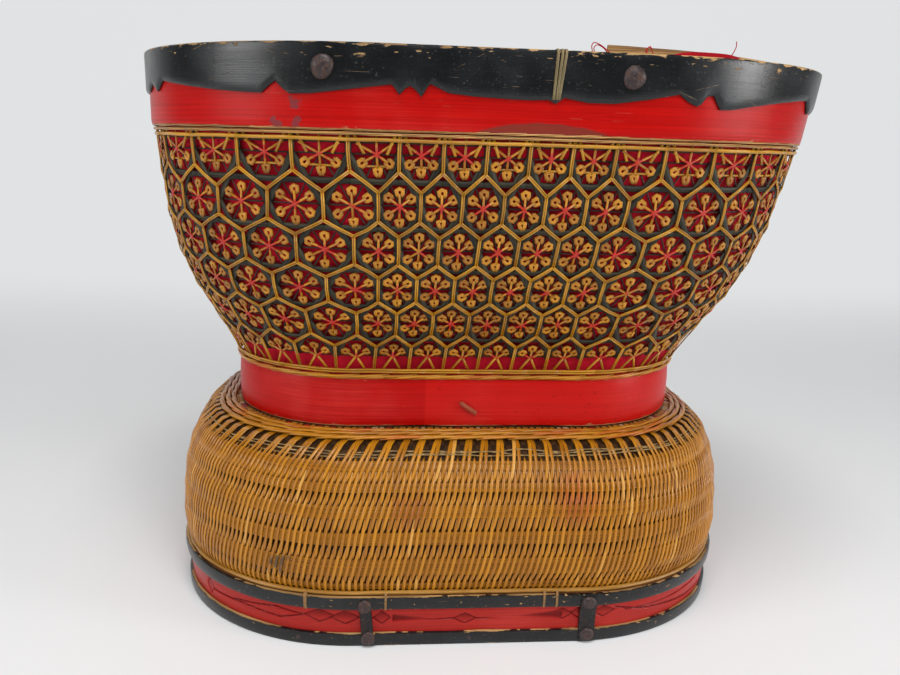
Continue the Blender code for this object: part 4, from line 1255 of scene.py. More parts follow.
def add_flower(column, climb, seed, upper, lower):
    """Golden loops knotted round the crossing of three spokes, each loop round one thin splint.

    The top row has no upper half and the bottom row has no lower half.
    """
    spot = np.array([column, climb])
    draws = np.random.default_rng(seed)
    for number, (right, rise, degrees, shape) in enumerate(petals):
        if not (upper if rise > 0 else lower):
            continue
        turn = math.radians(degrees + draws.uniform(-9, 9))
        ahead, side = np.array([math.cos(turn), math.sin(turn)]), np.array([-math.sin(turn), math.cos(turn)])
        offsets = shape[:, :1] * ahead + shape[:, 1:] * side
        middle = spot + (right, rise) + draws.uniform(-0.0002, 0.0002, 2)
        flowers.small(middle, offsets, loop_widths, -0.0008 + 0.00005 * number, loop_soots, spot)
    low_end, high_end = (-spoke_reach if lower else -0.0012), (spoke_reach if upper else 0.0092)
    upright = [spot + [0, low_end], spot, spot + [0, high_end]]
    flowers.strand(upright, spoke_width, [-0.0006, -0.0001, -0.0006], 0.0006, middle=spot)
    start, end = (-1.0 if lower else -0.15), (1.0 if upper else 1.5)
    for side in (-1, 1):
        arm = np.array([math.cos(spoke_slope) * side, math.sin(spoke_slope)]) * 0.0062
        lifts = [-0.0006, -0.0001 + 0.0001 * side, -0.0005]
        flowers.strand([spot + arm * start, spot, spot + arm * end], spoke_width, lifts, 0.0006, middle=spot)


for row, climb in enumerate(flower_climbs):
    add_flower((row % 2) * half_column, climb, 40 + row, row > 0, row < len(flower_climbs) - 1)


def black_splint_finish():
    """Splints blackened with lacquer, dull, with their pale fibres showing in streaks."""
    material, tree, shader = new_material("black splints", 0.5, 0.25)
    grain = fill_group(tree, fibre_grain, {
        "Place": uv_place(tree, "lay"), "Fibre length": 0.008, "Fibre width": 0.00035,
    })
    shade = point_share(tree, "shade")
    tone = times(tree, grain[0], plus(tree, 0.4, times(tree, shade, 0.6)))
    shown = mix(tree, tone, colour(22, 21, 16), colour(72, 68, 52))
    paint(tree, shader, shown)
    raise_surface(tree, shader, grain[1], 0.5, 0.0003)
    return material


def flower_dye(tree, shown, place, shade):
    """Red dye on the crossing of the spokes, running a little along some arms."""
    bloom = add(tree, "ShaderNodeAttribute", attribute_name="bloom").outputs["Vector"]
    distance = add(tree, "ShaderNodeVectorMath", {0: bloom}, operation="LENGTH").outputs["Value"]
    drift = times(tree, minus(tree, cloud(tree, place, 170.0, 2.0), 0.3), 0.0105)
    spread = plus(tree, drift, times(tree, shade, 0.0022))
    dyed = ramp(tree, minus(tree, spread, distance), 0.0, 0.0016)
    return mix(tree, times(tree, dyed, 0.92), shown, colour(180, 12, 12))


def border_dye(tree, shown, place, shade):
    red = ramp(tree, cloud(tree, place, 60.0, 2.0), 0.72, 0.76)
    return mix(tree, times(tree, red, 0.6), shown, colour(168, 50, 16))


black_finish = black_splint_finish()
edge_finish = woven_golden("golden edges", colour(210, 150, 32), colour(140, 92, 14), 0.3, border_dye)
flower_finish = woven_golden("flower loops", colour(212, 144, 30), colour(136, 82, 8), 0.36, flower_dye)
for name, cell, finish, seed, slot in (
    ("net_black_splints", black_splints, black_finish, 11, "black_lacquer"),
    ("net_golden_edges", golden_edges, edge_finish, 12, "golden_cane"),
    ("net_flowers", flowers, flower_finish, 13, "golden_cane"),
):
    laid = cell.lay_round(name, net_guide, net_columns, column_pitch, -half_way_round, finish, 0.0009, seed)
    net_piece = show(name, laid, finish)
    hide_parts("openwork_lattice")

# Twined rows above the waist and under the rim
# Long floats of golden cane, twined in pairs over and under each other, close the net at both ends:
# one row above the waist band and two finer ones under the rim.
waist_rows, rim_rows = Cell(), Cell()
rim_row_finish = woven_golden("rim twining", colour(200, 148, 78), colour(122, 82, 36), 0.34)
row_pitch = 2 * half_way_round / float_count
# The floats' ends are painted dark: painted shade where each goes under the other.
for strand in range(2):
    waist_rows.strand(
        float_line(0.5 * strand, row_pitch, 0.0019 + (0.5 - strand) * 0.0006, 0.0006),
        0.0007 + 0.0013 * (1 - float_places ** 2), 0.0013 - 0.0014 * float_places ** 2, 0.0008,
        soot=0.4 * float_places ** 8,
    )
    for row in range(2):
        climb = whole_climb - 0.0001 - 0.0021 * row + (0.5 - strand) * 0.0004
        rim_rows.strand(
            float_line(0.5 * strand + 0.3 * row, row_pitch, climb, 0.0005),
            0.0004 + 0.0007 * (1 - float_places ** 2), 0.0012 - 0.0017 * float_places ** 2, 0.0009,
            soot=0.7 * float_places ** 4,
        )
for name, cell, node, finish, seed in (
    ("waist_rows", waist_rows, "waist_twine", twine_finish, 15),
    ("rim_rows", rim_rows, "rim_twine", rim_row_finish, 16),
):
    laid = cell.lay_round(name, net_guide, float_count, row_pitch, -half_way_round, finish, 0.0007, seed)
    rows_piece = show(name, laid, finish)
    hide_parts(node)
bpy.data.objects.remove(net_guide)

# Stitch
# A short cord of two cane strands twisted together, slanting over the waist band. It ties the band to
# the basket behind.
stitch_turns = 5
stitch_points = 60
stitch_twist = np.linspace(0, stitch_turns * 2 * math.pi, stitch_points)
strand_radius = 0.00072
strand_offset = 0.00075
stitch_start = stand_at(-0.0050, waist_radius + 0.0005, 0.1371)
stitch_end = stand_at(0.0048, waist_radius + 0.0005, 0.1304)


def skin_over(name, rings):
    """A skin over rings of points that follow each other, with both ends closed."""
    index = np.arange(rings.shape[0] * rings.shape[1]).reshape(rings.shape[:2])
    here, after = index[:-1], index[1:]
    faces = np.stack([here, np.roll(here, -1, 1), np.roll(after, -1, 1), after], -1).reshape(-1, 4).tolist()
    faces += [index[0][::-1].tolist(), index[-1].tolist()]
    mesh = bpy.data.meshes.new(name)
    mesh.from_pydata(rings.reshape(-1, 3).tolist(), [], faces)
    mesh.shade_smooth()
    return mesh


def tube(name, points, radius, sides=6):
    """A round strand along points, with closed ends; the radius may change along it."""
    points = np.array(points, float)
    count = len(points)
    radius = np.broadcast_to(radius, count)
    ahead = unit(np.gradient(points, axis=0))
    across = np.cross(ahead, (0.13, 0.31, 0.94))
    across = unit(across)
    over = np.cross(ahead, across)
    turn = np.arange(sides) * 2 * math.pi / sides
    rings = points[:, None] + radius[:, None, None] * (
        across[:, None] * np.cos(turn)[:, None] + over[:, None] * np.sin(turn)[:, None]
    )
    mesh = skin_over(name, rings)
    run = np.append(0, np.cumsum(np.linalg.norm(np.diff(points, axis=0), axis=1)))
    used = points_of_corners(mesh)
    write_lay(mesh, np.stack([run[used // sides], (used % sides) * radius[0]], -1))
    return mesh


stitch_strands = []
for strand in range(2):
    share = np.linspace(0, 1, stitch_points)[:, None]
    turn = stitch_twist + strand * math.pi
    line = stitch_start * (1 - share) + stitch_end * share
    line[:, 1] -= 0.0005 + strand_offset * np.sin(turn) + 0.0006 * np.sin(share[:, 0] * math.pi)
    line[:, 2] += strand_offset * np.cos(turn)
    line[:, 0] += 0.0003 * np.cos(turn)
    ends = np.minimum(1, np.minimum(share[:, 0], 1 - share[:, 0]) * 12 + 0.4)
    stitch_strands.append(tube("stitch strand", line, strand_radius * ends))
stitch_finish = woven_golden("stitch cord", colour(206, 120, 84), colour(150, 60, 34), 0.5)
stitch_piece = show("waist_stitch_cord", join_meshes("stitch", stitch_strands), stitch_finish)
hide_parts("waist_stitch")

# Cloth lining
# A strip of crimson cloth stands inside the net, gathered in soft folds towards the neck and held at
# its edges between the hoops and the bands. Loose threads of its edge stand up at the rim.
cloth_thickness = 0.0010
cloth_top = 0.3270
cloth_low = 0.1240
cloth_ways = ways_round(0.002)
rim_outer_flare = 0.0034
red_band_thickness = 0.002


def rim_outer(height):
    share = (np.asarray(height) - rim_bottom) / (rim_top - rim_bottom)
    return rim_foot_radius + red_band_thickness - touch_gap + rim_outer_flare * share


low_rows, high_rows = np.linspace(cloth_low, 0.1495, 4), np.linspace(0.2945, cloth_top, 8)
net_radii, net_heights = off_wall(net_section, np.linspace(0.0, whole_climb, 52)[2:-2], -0.0031)
cloth_radii = np.concatenate([np.full(4, waist_radius - 0.0032), net_radii, rim_outer(high_rows) - 0.0027])
cloth_heights = np.concatenate([low_rows, net_heights, high_rows])
held = np.clip((cloth_heights - 0.152) / 0.02, 0, 1) * np.clip((0.289 - cloth_heights) / 0.03, 0, 1)
fold_pitch = half_way_round / 34
fold = np.sin(cloth_ways * 2 * math.pi / fold_pitch)[:, None]
fold_drift = wander(cloth_ways, 0.03, 1.0, 51)[:, None]
fold_size = 0.0022 * (1 - 0.55 * np.clip((cloth_heights - 0.16) / 0.12, 0, 1))
peep_middle, peep_half_length, peep_rise = 0.0828, 0.0152, 0.0075
peep = np.exp(-((cloth_ways - peep_middle) / peep_half_length) ** 4)[:, None]
peep = peep * np.clip((cloth_heights - 0.318) / 0.009, 0, 1)
peep_heights = cloth_heights + peep_rise * peep
fold_depth = held * fold_size * (0.5 + 0.5 * np.clip(fold + 0.5 * fold_drift, -1, 1))
outer = cloth_radii - fold_depth
inner = (outer - cloth_thickness)[:, ::-1]
cloth_mesh = carry_round(
    "cloth lining", cloth_ways, np.concatenate([outer, inner], 1),
    np.concatenate([peep_heights, peep_heights[:, ::-1]], 1), math.radians(60),
)


def crimson_cloth():
    """Plain woven crimson cloth, faded unevenly, with a soft sheen."""
    material, tree, shader = new_material("crimson cloth", 0.85, 0.2)
    shader.inputs["Sheen Weight"].default_value = 0.25
    shader.inputs["Sheen Roughness"].default_value = 0.5
    shader.inputs["Sheen Tint"].default_value = colour(240, 60, 70)
    place = object_place(tree)
    lay = split_place(tree, uv_place(tree, "lay"))
    warp = calc(tree, "SINE", times(tree, lay[0], 2 * math.pi / 0.0009))
    weft = calc(tree, "SINE", times(tree, lay[1], 2 * math.pi / 0.0009))
    weave = times(tree, warp, weft)
    faded = ramp(tree, cloud(tree, place, 30.0, 3.0), 0.35, 0.75)
    shown = mix(tree, faded, colour(172, 6, 28), colour(208, 16, 44))
    shown = mix(tree, plus(tree, 0.12, times(tree, weave, 0.12)), shown, colour(110, 4, 18))
    paint(tree, shader, shown)
    raise_surface(tree, shader, weave, 0.4, 0.0003)
    return material


cloth_material = crimson_cloth()
cloth_piece = show("cloth_lining_gathered", cloth_mesh, cloth_material)
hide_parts("cloth_lining")
thread_runs = (
    (
        (0.0335, 0.3318), (0.0324, 0.3352), (0.0333, 0.3370), (0.0362, 0.3362), (0.0395, 0.3342),
        (0.0420, 0.3322),
    ),
    ((0.0345, 0.3318), (0.0336, 0.3344), (0.0352, 0.3360), (0.0385, 0.3346), (0.0410, 0.3320)),
    ((0.0597, 0.3330), (0.0605, 0.3352), (0.0620, 0.3362), (0.0625, 0.3345), (0.0635, 0.3322)),
    ((0.0607, 0.3322), (0.0603, 0.3348), (0.0615, 0.3358), (0.0627, 0.3352)),
    ((0.0878, 0.3335), (0.0888, 0.3355), (0.0895, 0.3385), (0.0893, 0.3412)),
)
loose_threads = []
loose_radius = 0.00025
loose_places = np.linspace(0, 1, 28)


def eased(values):
    """Values spread evenly along a thread, with their corners rounded."""
    spread = np.interp(loose_places, np.linspace(0, 1, len(values)), values)
    return np.convolve(np.pad(spread, 2, "edge"), np.ones(5) / 5, "valid")


for run in thread_runs:
    way, height = np.array(run).T + [[0.0025], [0.0]]
    line = stand_at(eased(way), rim_outer(rim_top) - 0.0045, eased(height))
    loose_threads.append(tube("loose thread", line, loose_radius, 5))
thread_piece = show("cloth_loose_threads", join_meshes("loose threads", loose_threads), cloth_material)

# Red rim band
# A wide bamboo band bent round the mouth, lacquered red. Its fibres run along it, and its lower edge is
# a little uneven, with a gnawed stretch right of the middle of the front.
rim_band_low = rim_bottom
rim_band_top = rim_top - 0.001
red_ways = ways_round(0.002)
red_rows = np.concatenate([np.linspace(0, 0.2, 14), np.linspace(0.26, 1, 12)])
gnaw_middle, gnaw_half_length, gnaw_depth = 0.016, 0.034, 0.0056
gnaw_bow = np.clip(1 - ((red_ways - gnaw_middle) / gnaw_half_length) ** 2, 0, 1)
gnaw_height = gnaw_depth * gnaw_bow[:, None] ** 0.8
gnaw_height = gnaw_height + wander(red_ways, 0.006, 0.0003, 63)[:, None]
red_low = rim_band_low + wander(red_ways, 0.04, 0.0003, 61)[:, None]
red_heights = red_low + (rim_band_top - red_low) * red_rows
red_outer = rim_outer(red_heights) - 0.0004 * (1 - np.clip(red_rows * 12, 0, 1) ** 0.5)
gnawed = np.clip((gnaw_height - red_heights + red_low) / 0.0008, 0, 1)
red_outer = red_outer - 0.0005 * gnawed
red_outer = red_outer + wander(red_ways, 0.05, 0.0002, 62)[:, None] * np.clip(1 - red_rows * 1.8, 0, 1)
red_inner = rim_outer(red_heights[:, [-1, 0]]) - red_band_thickness
red_mesh = carry_round(
    "red rim band", red_ways, np.concatenate([red_outer, red_inner], 1),
    np.concatenate([red_heights, red_heights[:, [-1, 0]]], 1),
)
gnaw_line = gnawed * (gnaw_height > 0.0005)
mark_points(red_mesh, "gnaw", np.concatenate([gnaw_line, np.zeros((len(red_ways), 2))], 1))
above_all = 1.0
rim_stains = (
    ((-0.1092, -0.1485, 0.3035), 0.0022), ((-0.1185, -0.1440, 0.2935), 0.0026),
    ((-0.1093, -0.1475, 0.2935), 0.0030),
)
red_piece = show("rim_red_band_dressed", red_mesh, red_lacquer(
    "rim lacquer", rim_band_low, above_all, 0.05, "gnaw", (118, 50, 38), stains=rim_stains,
))
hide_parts("rim_red_band")

# Black rim band
# A thinner band lies over the red one, its lower edge cut into shallow scallops with small teeth
# between them. Its black lacquer is scratched, and rubbed to tan along the top.
black_band_thickness = 0.0018
scallops = (
    (-158.0, 309.6), (-152.5, 313.6), (-147.0, 309.2), (-142.0, 314.5), (-135.0, 313.0), (-126.0, 311.2),
    (-114.0, 309.2), (-106.0, 308.3), (-98.8, 307.9), (-96.6, 311.2), (-94.6, 313.6), (-92.6, 310.4),
    (-90.4, 307.7), (-84.0, 308.1), (-76.0, 310.0), (-64.1, 312.8), (-60.8, 313.2), (-58.6, 311.0),
    (-56.6, 308.5), (-54.0, 311.6), (-51.7, 312.8), (-49.0, 311.0), (-45.9, 307.9), (-44.0, 311.4),
    (-42.2, 314.1), (-33.1, 310.2), (-20.0, 309.0), (-3.6, 308.4), (8.0, 308.2), (16.2, 308.7),
    (19.9, 306.9), (23.9, 309.9), (36.2, 307.9), (50.0, 308.0), (65.6, 310.4), (74.4, 313.5),
    (77.4, 310.0), (80.2, 308.2), (81.5, 309.4), (82.9, 313.2), (85.0, 313.8), (86.6, 310.0),
    (88.2, 307.1), (92.0, 307.3), (100.0, 309.6), (112.0, 312.4), (124.0, 314.6), (132.0, 315.4),
    (134.6, 312.0), (137.0, 308.4), (140.0, 309.4), (146.0, 312.4), (162.0, 309.0), (176.0, 310.8),
    (188.0, 313.2), (196.0, 308.4), (200.0, 312.4), (204.0, 308.9),
)
scallop_ways = np.array([way for way, height in scallops]) / 1000
scallop_heights = np.array([height for way, height in scallops]) / 1000
turned_ways = np.concatenate([scallop_ways - half_way_round, scallop_ways, scallop_ways + half_way_round])
turned_heights = np.tile(scallop_heights, 3)
order = np.argsort(turned_ways)
black_ways = np.unique(np.round(np.concatenate([ways_round(0.002), turned_ways]), 5))
black_ways = black_ways[(black_ways >= -half_way_round) & (black_ways < half_way_round - 1e-5)]
black_low = np.interp(black_ways, turned_ways[order], turned_heights[order])[:, None]
black_shares = np.array([0, 0.03, 0.08, 0.2, 0.35, 0.5, 0.65, 0.8, 0.92, 0.975, 1.0])
black_crown = np.array([0.45, 0.75, 0.95, 1, 1, 1, 1, 1, 0.97, 0.85, 0.5])
black_heights = black_low + (rim_top - black_low) * black_shares
press = wander(black_ways, 0.035, 0.0003, 71)[:, None] * np.sin(black_shares * math.pi)
black_outer = rim_outer(black_heights) + touch_gap + black_band_thickness * black_crown + press
black_inner = rim_outer(black_heights[:, [-1, 0]]) + touch_gap
black_mesh = carry_round(
    "black rim band", black_ways, np.concatenate([black_outer, black_inner], 1),
    np.concatenate([black_heights, black_heights[:, [-1, 0]]], 1), math.radians(28),
)
below_all = 0.0
black_finish = black_lacquer("rim black lacquer", below_all, rim_top, reach=0.0024, chips=0.3, scratched=0.5)
black_piece = show("rim_black_band_dressed", black_mesh, black_finish)
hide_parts("rim_black_band")

# Bare hoops, slats and floor
# Hoops of bare split bamboo stand inside the mouth, the waist and the foot, and a plaited floor lies
# on two slats in the foot. Their solids are shown as they are, in their own finish.


def bare_bamboo(name, light=colour(214, 178, 118), dark=colour(158, 112, 62)):
    """Bare split bamboo, its fibres lying level, darker where hands and dust have marked it."""
    material, tree, shader = new_material(name, 0.55, 0.4)
    place = object_place(tree)
    fibres = cloud(tree, aim(tree, "MULTIPLY", place, (25.0, 25.0, 1500.0)), 1.0, 3.0)
    grime = ramp(tree, cloud(tree, place, 35.0, 3.0), 0.45, 0.75)
    shown = mix(tree, ramp(tree, fibres, 0.3, 0.7), dark, light)
    shown = mix(tree, times(tree, grime, 0.5), shown, colour(110, 70, 36))
    paint(tree, shader, shown)
    raise_surface(tree, shader, fibres, 0.4, 0.0003)
    return material


def plaited_floor(name):
    """A floor plaited over two and under two from flat strips of split bamboo."""
    material, tree, shader = new_material(name, 0.55, 0.4)
    place = split_place(tree, object_place(tree))
    strip = 0.006
    along = calc(tree, "DIVIDE", place[0], strip)
    across = calc(tree, "DIVIDE", place[1], strip)
    turn = minus(tree, calc(tree, "FLOOR", along), calc(tree, "FLOOR", across))
    over = calc(tree, "GREATER_THAN", calc(tree, "FLOORED_MODULO", turn, 4.0), 1.5)
    edge_one = calc(tree, "ABSOLUTE", minus(tree, calc(tree, "FRACT", along), 0.5))
    edge_two = calc(tree, "ABSOLUTE", minus(tree, calc(tree, "FRACT", across), 0.5))
    edge = add(tree, "ShaderNodeMix", {0: over, 2: edge_one, 3: edge_two}).outputs[0]
    rounded = minus(tree, 1.0, ramp(tree, edge, 0.36, 0.5))
    fibres = cloud(tree, object_place(tree), 700.0, 2.0)
    tone = times(tree, rounded, plus(tree, 0.5, times(tree, fibres, 0.6)))
    shown = mix(tree, tone, colour(60, 34, 12), colour(206, 152, 74))
    shown = mix(tree, times(tree, over, 0.2), shown, colour(140, 92, 38))
    paint(tree, shader, shown)
    raise_surface(tree, shader, rounded, 0.5, 0.0006)
    return material


hoop_finish = bare_bamboo("bare bamboo")
carried = {
    "rim_inner_hoop": bare_bamboo("rim hoop bamboo", colour(176, 140, 84), colour(104, 74, 40)),
    "waist_inner_hoop": hoop_finish, "foot_inner_hoop": hoop_finish, "floor_slat_left": hoop_finish,
    "floor_slat_right": hoop_finish, "base_floor": plaited_floor("plaited floor"),
}
for node, finish in carried.items():
    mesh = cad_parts[node].data
    for slot in range(len(mesh.materials)):
        mesh.materials[slot] = finish

# Inner rim strip
# A loose length of bare split bamboo, tucked in against the inner side of the mouth. Its sawn end
# stands up over the rim, and the rest sinks away to the right.
strip_start, strip_end = 0.0436, 0.1252
strip_ways = np.linspace(strip_start, strip_end, 60)
strip_thickness = 0.0015
strip_height = 0.016
strip_rise = 0.0042
sunk = np.clip((strip_ways - strip_start) / (strip_end - strip_start), 0, 1) ** 1.4
strip_low = (rim_top + strip_rise - strip_height - strip_rise * sunk)[:, None]
strip_shares = np.array([0, 0.06, 0.3, 0.6, 0.94, 1.0])
strip_heights = strip_low + strip_height * strip_shares
inner_face = rim_outer(strip_heights) - red_band_thickness - cloth_thickness - 4 * touch_gap - 0.0024
strip_outer = inner_face - 0.0002 * np.array([1, 0, 0, 0, 0, 1])
strip_mesh = carry_round(
    "rim strip", strip_ways, np.concatenate([strip_outer, (inner_face - strip_thickness)[:, [5, 0]]], 1),
    np.concatenate([strip_heights, strip_heights[:, [5, 0]]], 1), whole=False,
)
strip_finish = bare_bamboo("strip bamboo", colour(186, 148, 92), colour(118, 84, 44))
strip_piece = show("rim_inner_strip_dressed", strip_mesh, strip_finish)
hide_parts("rim_inner_strip")

# Cane lashing
# Three narrow turns of split cane, right of the middle of the front. They go over the top and bind the
# rim's two bands and its inner hoop together.
lash_meshes = []
lash_level = 0.32
lash_half_width = 0.0008
for number, lash_way in enumerate((0.0181, 0.0199, 0.0214)):
    face = float(rim_outer(lash_level)) + touch_gap + black_band_thickness
    inside = face - 0.0092
    path = np.array([
        (face + 0.0003, 0.3088), (face + 0.0006, 0.3125), (face + 0.0006, 0.322), (face + 0.0007, 0.3300),
        (face + 0.0002, 0.3318), (face - 0.002, 0.3325), (inside + 0.001, 0.3325), (inside - 0.0003, 0.3312),
        (inside - 0.0006, 0.322), (inside - 0.0004, 0.3105), (inside + 0.0006, 0.3094),
    ])
    path[:, 0] += (path[:, 1] - lash_level) * rim_outer_flare / (rim_top - rim_bottom)
    ahead = unit(np.gradient(path, axis=0))
    square = np.stack([ahead[:, 1], -ahead[:, 0]], -1)
    corners = []
    for across, lift in ((-1, -0.00025), (-0.6, 0.0003), (0.6, 0.0003), (1, -0.00025)):
        way = lash_way + across * lash_half_width + (path[:, 1] - lash_level) * 0.03 * (number - 1)
        corners.append(stand_at(way, path[:, 0] + square[:, 0] * lift, path[:, 1] + square[:, 1] * lift))
    mesh = skin_over("lashing turn", np.stack(corners, 1))
    used = points_of_corners(mesh)
    write_lay(mesh, np.stack([climbs_of(path)[used // 4], (used % 4) * 0.0004], -1))
    lash_meshes.append(mesh)
lash_finish = woven_golden("lashing cane", colour(182, 164, 116), colour(104, 90, 58), 0.45)
lash_piece = show("rim_lashing_turns", join_meshes("rim lashing", lash_meshes), lash_finish)
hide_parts("rim_lashing")

# Iron straps and nails
# Four thin iron straps clamp the foot's hoops to its band, each held by two domed nails. Two small pins
# hold the lower hoop in front, and four larger nails the rim. All are hammered by hand, and the straps
# are painted black with the hoops.


def worn_iron(name, iron, rusted):
    """Hammered iron: dark brown with rust in the hollows, or painted black and rubbed through."""
    material, tree, shader = new_material(name, 0.55)
    shader.inputs["Metallic"].default_value = 0.35
    place = object_place(tree)
    rust = ramp(tree, cloud(tree, place, 420.0, 4.0), 0.45, 0.68)
    rubbed = ramp(tree, cloud(tree, place, 900.0, 2.0), 0.6, 0.7)
    shown = mix(tree, times(tree, rust, rusted), iron, colour(86, 60, 50))
    shown = mix(tree, times(tree, rubbed, 0.3), shown, colour(128, 112, 106))
    paint(tree, shader, shown, plus(tree, 0.42, times(tree, rust, 0.3)))
    raise_surface(tree, shader, plus(tree, rust, rubbed), 0.35, 0.0003)
    return material


strap_finish = worn_iron("painted strap iron", colour(26, 25, 26), 0.3)
nail_finish = worn_iron("nail iron", colour(58, 48, 48), 0.8)
strap_width = 0.0070
strap_section = ((-0.5, 0.0), (-0.46, 0.0009), (-0.2, 0.0011), (0.2, 0.0011), (0.46, 0.0009), (0.5, 0.0))
strap_slants = {"front_left": 0.0022}
strap_nail_size, strap_nail_dome = 0.0042, 0.0019
rim_nail_size, rim_nail_dome, rim_nail_level = 0.0058, 0.0027, 0.3205
pin_size, pin_dome = 0.0014, 0.0007
strap_face = float(foot_hoop_seat(0.004)) + foot_hoop_thickness
strap_path = np.array([
    (strap_face - 0.0004, 0.0012), (strap_face + 0.0002, 0.0026), (strap_face + 0.0002, 0.0074),
    (strap_face - 0.0006, 0.0096), (strap_face - 0.0002, 0.0155), (strap_face + 0.0004, 0.0215),
    (strap_face + 0.0019, 0.0240), (strap_face + 0.0021, 0.0280), (strap_face + 0.0014, 0.0300),
])


def seat_of(way, radius, height, slope):
    """A place on the basket, with the directions along it, square off it and up it."""
    spot = stand_at(way, radius, height)
    along = unit(stand_at(way + 0.0005, radius, height) - stand_at(way - 0.0005, radius, height))
    upward = unit(stand_at(way, radius + slope * 0.001, height + 0.001) - spot)
    return spot, along, unit(np.cross(along, upward)), upward


def strap_mesh(way, slant):
    ahead = unit(np.gradient(strap_path, axis=0))
    square = np.stack([ahead[:, 1], -ahead[:, 0]], -1)
    rows = []
    for across, lift in strap_section:
        radius, height = strap_path[:, 0] + square[:, 0] * lift, strap_path[:, 1] + square[:, 1] * lift
        rows.append(stand_at(way + slant * (0.028 - height) / 0.024 + across * strap_width, radius, height))
    mesh = skin_over("strap", np.stack(rows, 1))
    mesh.set_sharp_from_angle(angle=math.radians(50))
    return mesh


def nail_mesh(way, radius, height, slope, size, dome, seed):
    """A hammered nail head: a low dome with an uneven outline and small flats."""
    spot, along, outward, upward = seat_of(way, radius, height, slope)
    draws = np.random.default_rng(seed)
    sides, rings = 20, 8
    turn = np.arange(sides) * 2 * math.pi / sides
    edge = 1 + 0.035 * np.sin(2 * turn + draws.uniform(0, 6)) + 0.03 * np.sin(3 * turn + draws.uniform(0, 6))
    points = []
    for ring in range(rings):
        rise = math.sin(math.pi / 2 * ring / rings)
        reach = size * math.cos(math.pi / 2 * ring / rings) ** 0.8
        dents = 1 + draws.uniform(-0.05, 0.05, sides) * (ring > 0)
        points.append(
            spot + outward * (dome * rise * dents)[:, None]
            + reach * edge[:, None] * (np.cos(turn)[:, None] * along + np.sin(turn)[:, None] * upward)
        )
    points.append((spot + outward * dome * 0.98)[None])
    points.append(points[0] - outward * 0.0006)
    flat = np.concatenate(points)
    tip = rings * sides
    faces = []
    for ring in range(rings - 1):
        for side in range(sides):
            after = (side + 1) % sides
            low, high = ring * sides, (ring + 1) * sides
            faces.append((low + side, low + after, high + after, high + side))
    for side in range(sides):
        after = (side + 1) % sides
        faces.append((tip - sides + side, tip - sides + after, tip))
        faces.append((tip + 1 + side, tip + 1 + after, after, side))
    faces.append(tuple(range(tip + sides, tip, -1)))
    mesh = bpy.data.meshes.new("nail")
    mesh.from_pydata(flat.tolist(), [], faces)
    mesh.shade_smooth()
    return mesh


strap_places = {
    "front_left": -0.0600, "front_right": 0.0690,
    "back_left": -half_way_round + 0.0600, "back_right": half_way_round - 0.0690,
}
for number, (side, way) in enumerate(strap_places.items()):
    slant = strap_slants.get(side, 0.0)
    strap = show(f"foot_strap_{side}_dressed", strap_mesh(way, slant), strap_finish)
    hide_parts(f"foot_strap_{side}")
    for level, (radius, height), slope, nail_way, seed in (
        ("lower", strap_path[2] + (0.0008, -0.0018), 0.0, way + slant, 100 + 2 * number),
        ("upper", strap_path[7] + (0.0004, -0.0015), 0.05, way, 101 + 2 * number),
    ):
        nail_head = nail_mesh(nail_way, radius, height, slope, strap_nail_size, strap_nail_dome, seed)
        nail = show(f"strap_nail_{side}_{level}_dressed", nail_head, nail_finish)
        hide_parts(f"strap_nail_{side}_{level}")
rim_nail_places = {
    "front_left": -0.0813, "front_right": 0.0570,
    "back_left": -half_way_round + 0.0813, "back_right": half_way_round - 0.0570,
}
face = float(rim_outer(rim_nail_level)) + touch_gap + black_band_thickness
flare = rim_outer_flare / (rim_top - rim_bottom)
for number, (side, way) in enumerate(rim_nail_places.items()):
    nail_head = nail_mesh(way, face, rim_nail_level, flare, rim_nail_size, rim_nail_dome, 120 + number)
    nail = show(f"rim_nail_{side}_dressed", nail_head, nail_finish)
    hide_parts(f"rim_nail_{side}")
for number, way in enumerate((-0.0880, 0.0010)):
    pin_head = nail_mesh(way, strap_face - 0.0002, 0.0042, 0.0, pin_size, pin_dome, 130 + number)
    pin = show(f"hoop_pin_{number + 1}", pin_head, nail_finish)

# Studio
# A pale floor that curves up behind the basket, soft light from above and in front, and the camera
# at the photograph's place.
bend_start, bend_radius = 1.3, 0.8
bend = np.linspace(0, math.pi / 2, 17)
floor_points = [(-1.0, 0.0), (bend_start, 0.0)]
floor_points += [
    (bend_start + bend_radius * math.sin(turn), bend_radius - bend_radius * math.cos(turn)) for turn in bend
]
floor_points.append((bend_start + bend_radius, 3.5))
floor_ways = (-3.0, 3.0)
floor_mesh = bpy.data.meshes.new("studio floor")
floor_mesh.from_pydata(
    [(x, y, z) for y, z in floor_points for x in floor_ways], [],
    [(2 * step, 2 * step + 1, 2 * step + 3, 2 * step + 2) for step in range(len(floor_points) - 1)],
)
floor_mesh.shade_smooth()
floor = put_in_scene("studio_floor", floor_mesh)
paper, tree, shader = new_material("studio paper", 0.9, 0.2)
shader.inputs["Base Color"].default_value = colour(233, 234, 235)
depth = split_place(tree, object_place(tree))
far = ramp(tree, depth[1], 0.25, 1.3)
glow = add(tree, "ShaderNodeEmission", {"Color": colour(228, 230, 231)}).outputs[0]
rays = tree.nodes.new("ShaderNodeLightPath").outputs
seen = larger(tree, rays["Is Camera Ray"], rays["Is Glossy Ray"])
shown = add(tree, "ShaderNodeMixShader", {
    0: times(tree, seen, times(tree, far, 0.9)), 1: shader.outputs[0], 2: glow,
}).outputs[0]
tree.links.new(shown, tree.nodes["Material Output"].inputs["Surface"])
floor_mesh.materials.append(paper)

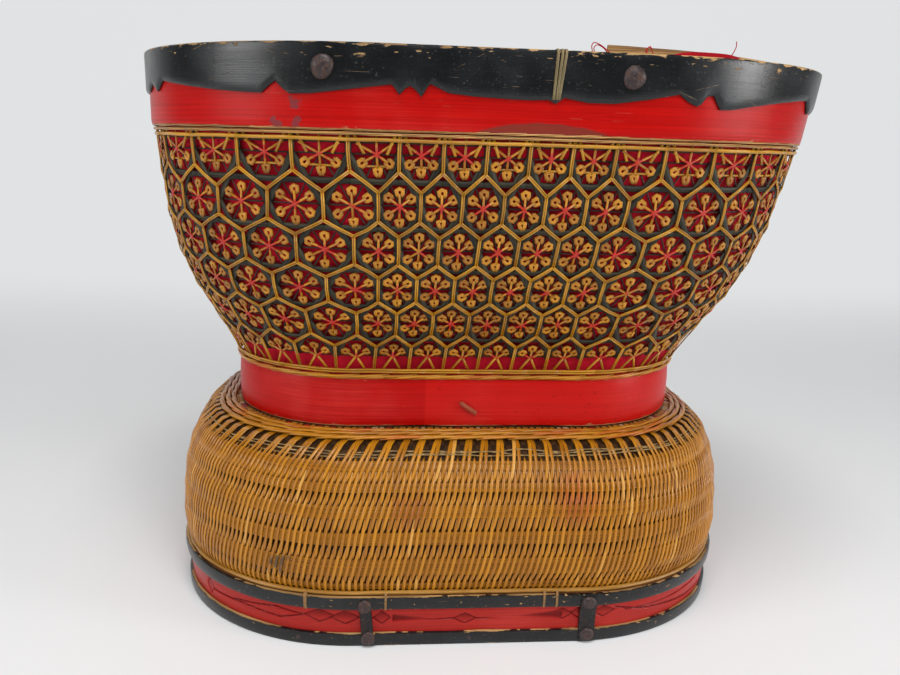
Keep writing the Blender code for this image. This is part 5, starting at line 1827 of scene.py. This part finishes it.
world = bpy.data.worlds.new("studio")
bpy.context.scene.world = world
world.use_nodes = True
tree = world.node_tree
background = tree.nodes["Background"]
background.inputs["Color"].default_value = (1.0, 1.0, 1.0, 1)
rays = tree.nodes.new("ShaderNodeLightPath").outputs
light_strength, glossy_strength, seen_strength = 0.32, 0.15, 0.75
unseen_values = {0: rays["Is Glossy Ray"], 2: light_strength, 3: glossy_strength}
unseen = add(tree, "ShaderNodeMix", unseen_values).outputs[0]
strength = add(tree, "ShaderNodeMix", {0: rays["Is Camera Ray"], 2: unseen, 3: seen_strength}).outputs[0]
tree.links.new(strength, background.inputs["Strength"])


def soft_light(name, place, target, size, strength):
    light = bpy.data.lights.new(name, "AREA")
    light.shape = "RECTANGLE"
    light.size, light.size_y = size
    light.energy = strength
    lamp = put_in_scene(name, light)
    lamp.location = place
    lamp.rotation_euler = (Vector(target) - Vector(place)).to_track_quat("-Z", "Y").to_euler()


soft_light("top light", (-0.1, -0.6, 1.5), (0, 0, 0.15), (0.6, 0.5), 10.5)
soft_light("front light", (0.3, -1.7, 1.5), (0, 0, 0.2), (1.2, 0.9), 14.0)
soft_light("side light", (1.6, -0.75, 0.4), (0, 0, 0.3), (0.5, 0.6), 12.0)
soft_light("left light", (-1.5, -0.75, 0.5), (0, 0, 0.3), (0.7, 0.5), 8.5)

camera_data = bpy.data.cameras.new("camera")
camera_data.lens = 36.0
camera_data.sensor_width = 36.0
camera = put_in_scene("camera", camera_data)
camera_yaw, camera_pitch, camera_roll = -0.0977, 0.2137, 0.0314
forward = Vector((
    -math.sin(camera_yaw) * math.cos(camera_pitch), math.cos(camera_yaw) * math.cos(camera_pitch),
    -math.sin(camera_pitch),
))
level_right = Vector((math.cos(camera_yaw), math.sin(camera_yaw), 0))
level_up = level_right.cross(forward)
right = level_right * math.cos(camera_roll) + level_up * math.sin(camera_roll)
upward = level_up * math.cos(camera_roll) - level_right * math.sin(camera_roll)
for column, direction in enumerate((right, upward, -forward)):
    for row in range(3):
        camera.matrix_world[row][column] = direction[row]
camera.location = (-0.0740, -0.6043, 0.2871)
bpy.context.scene.camera = camera
bpy.context.scene.view_settings.view_transform = "Standard"
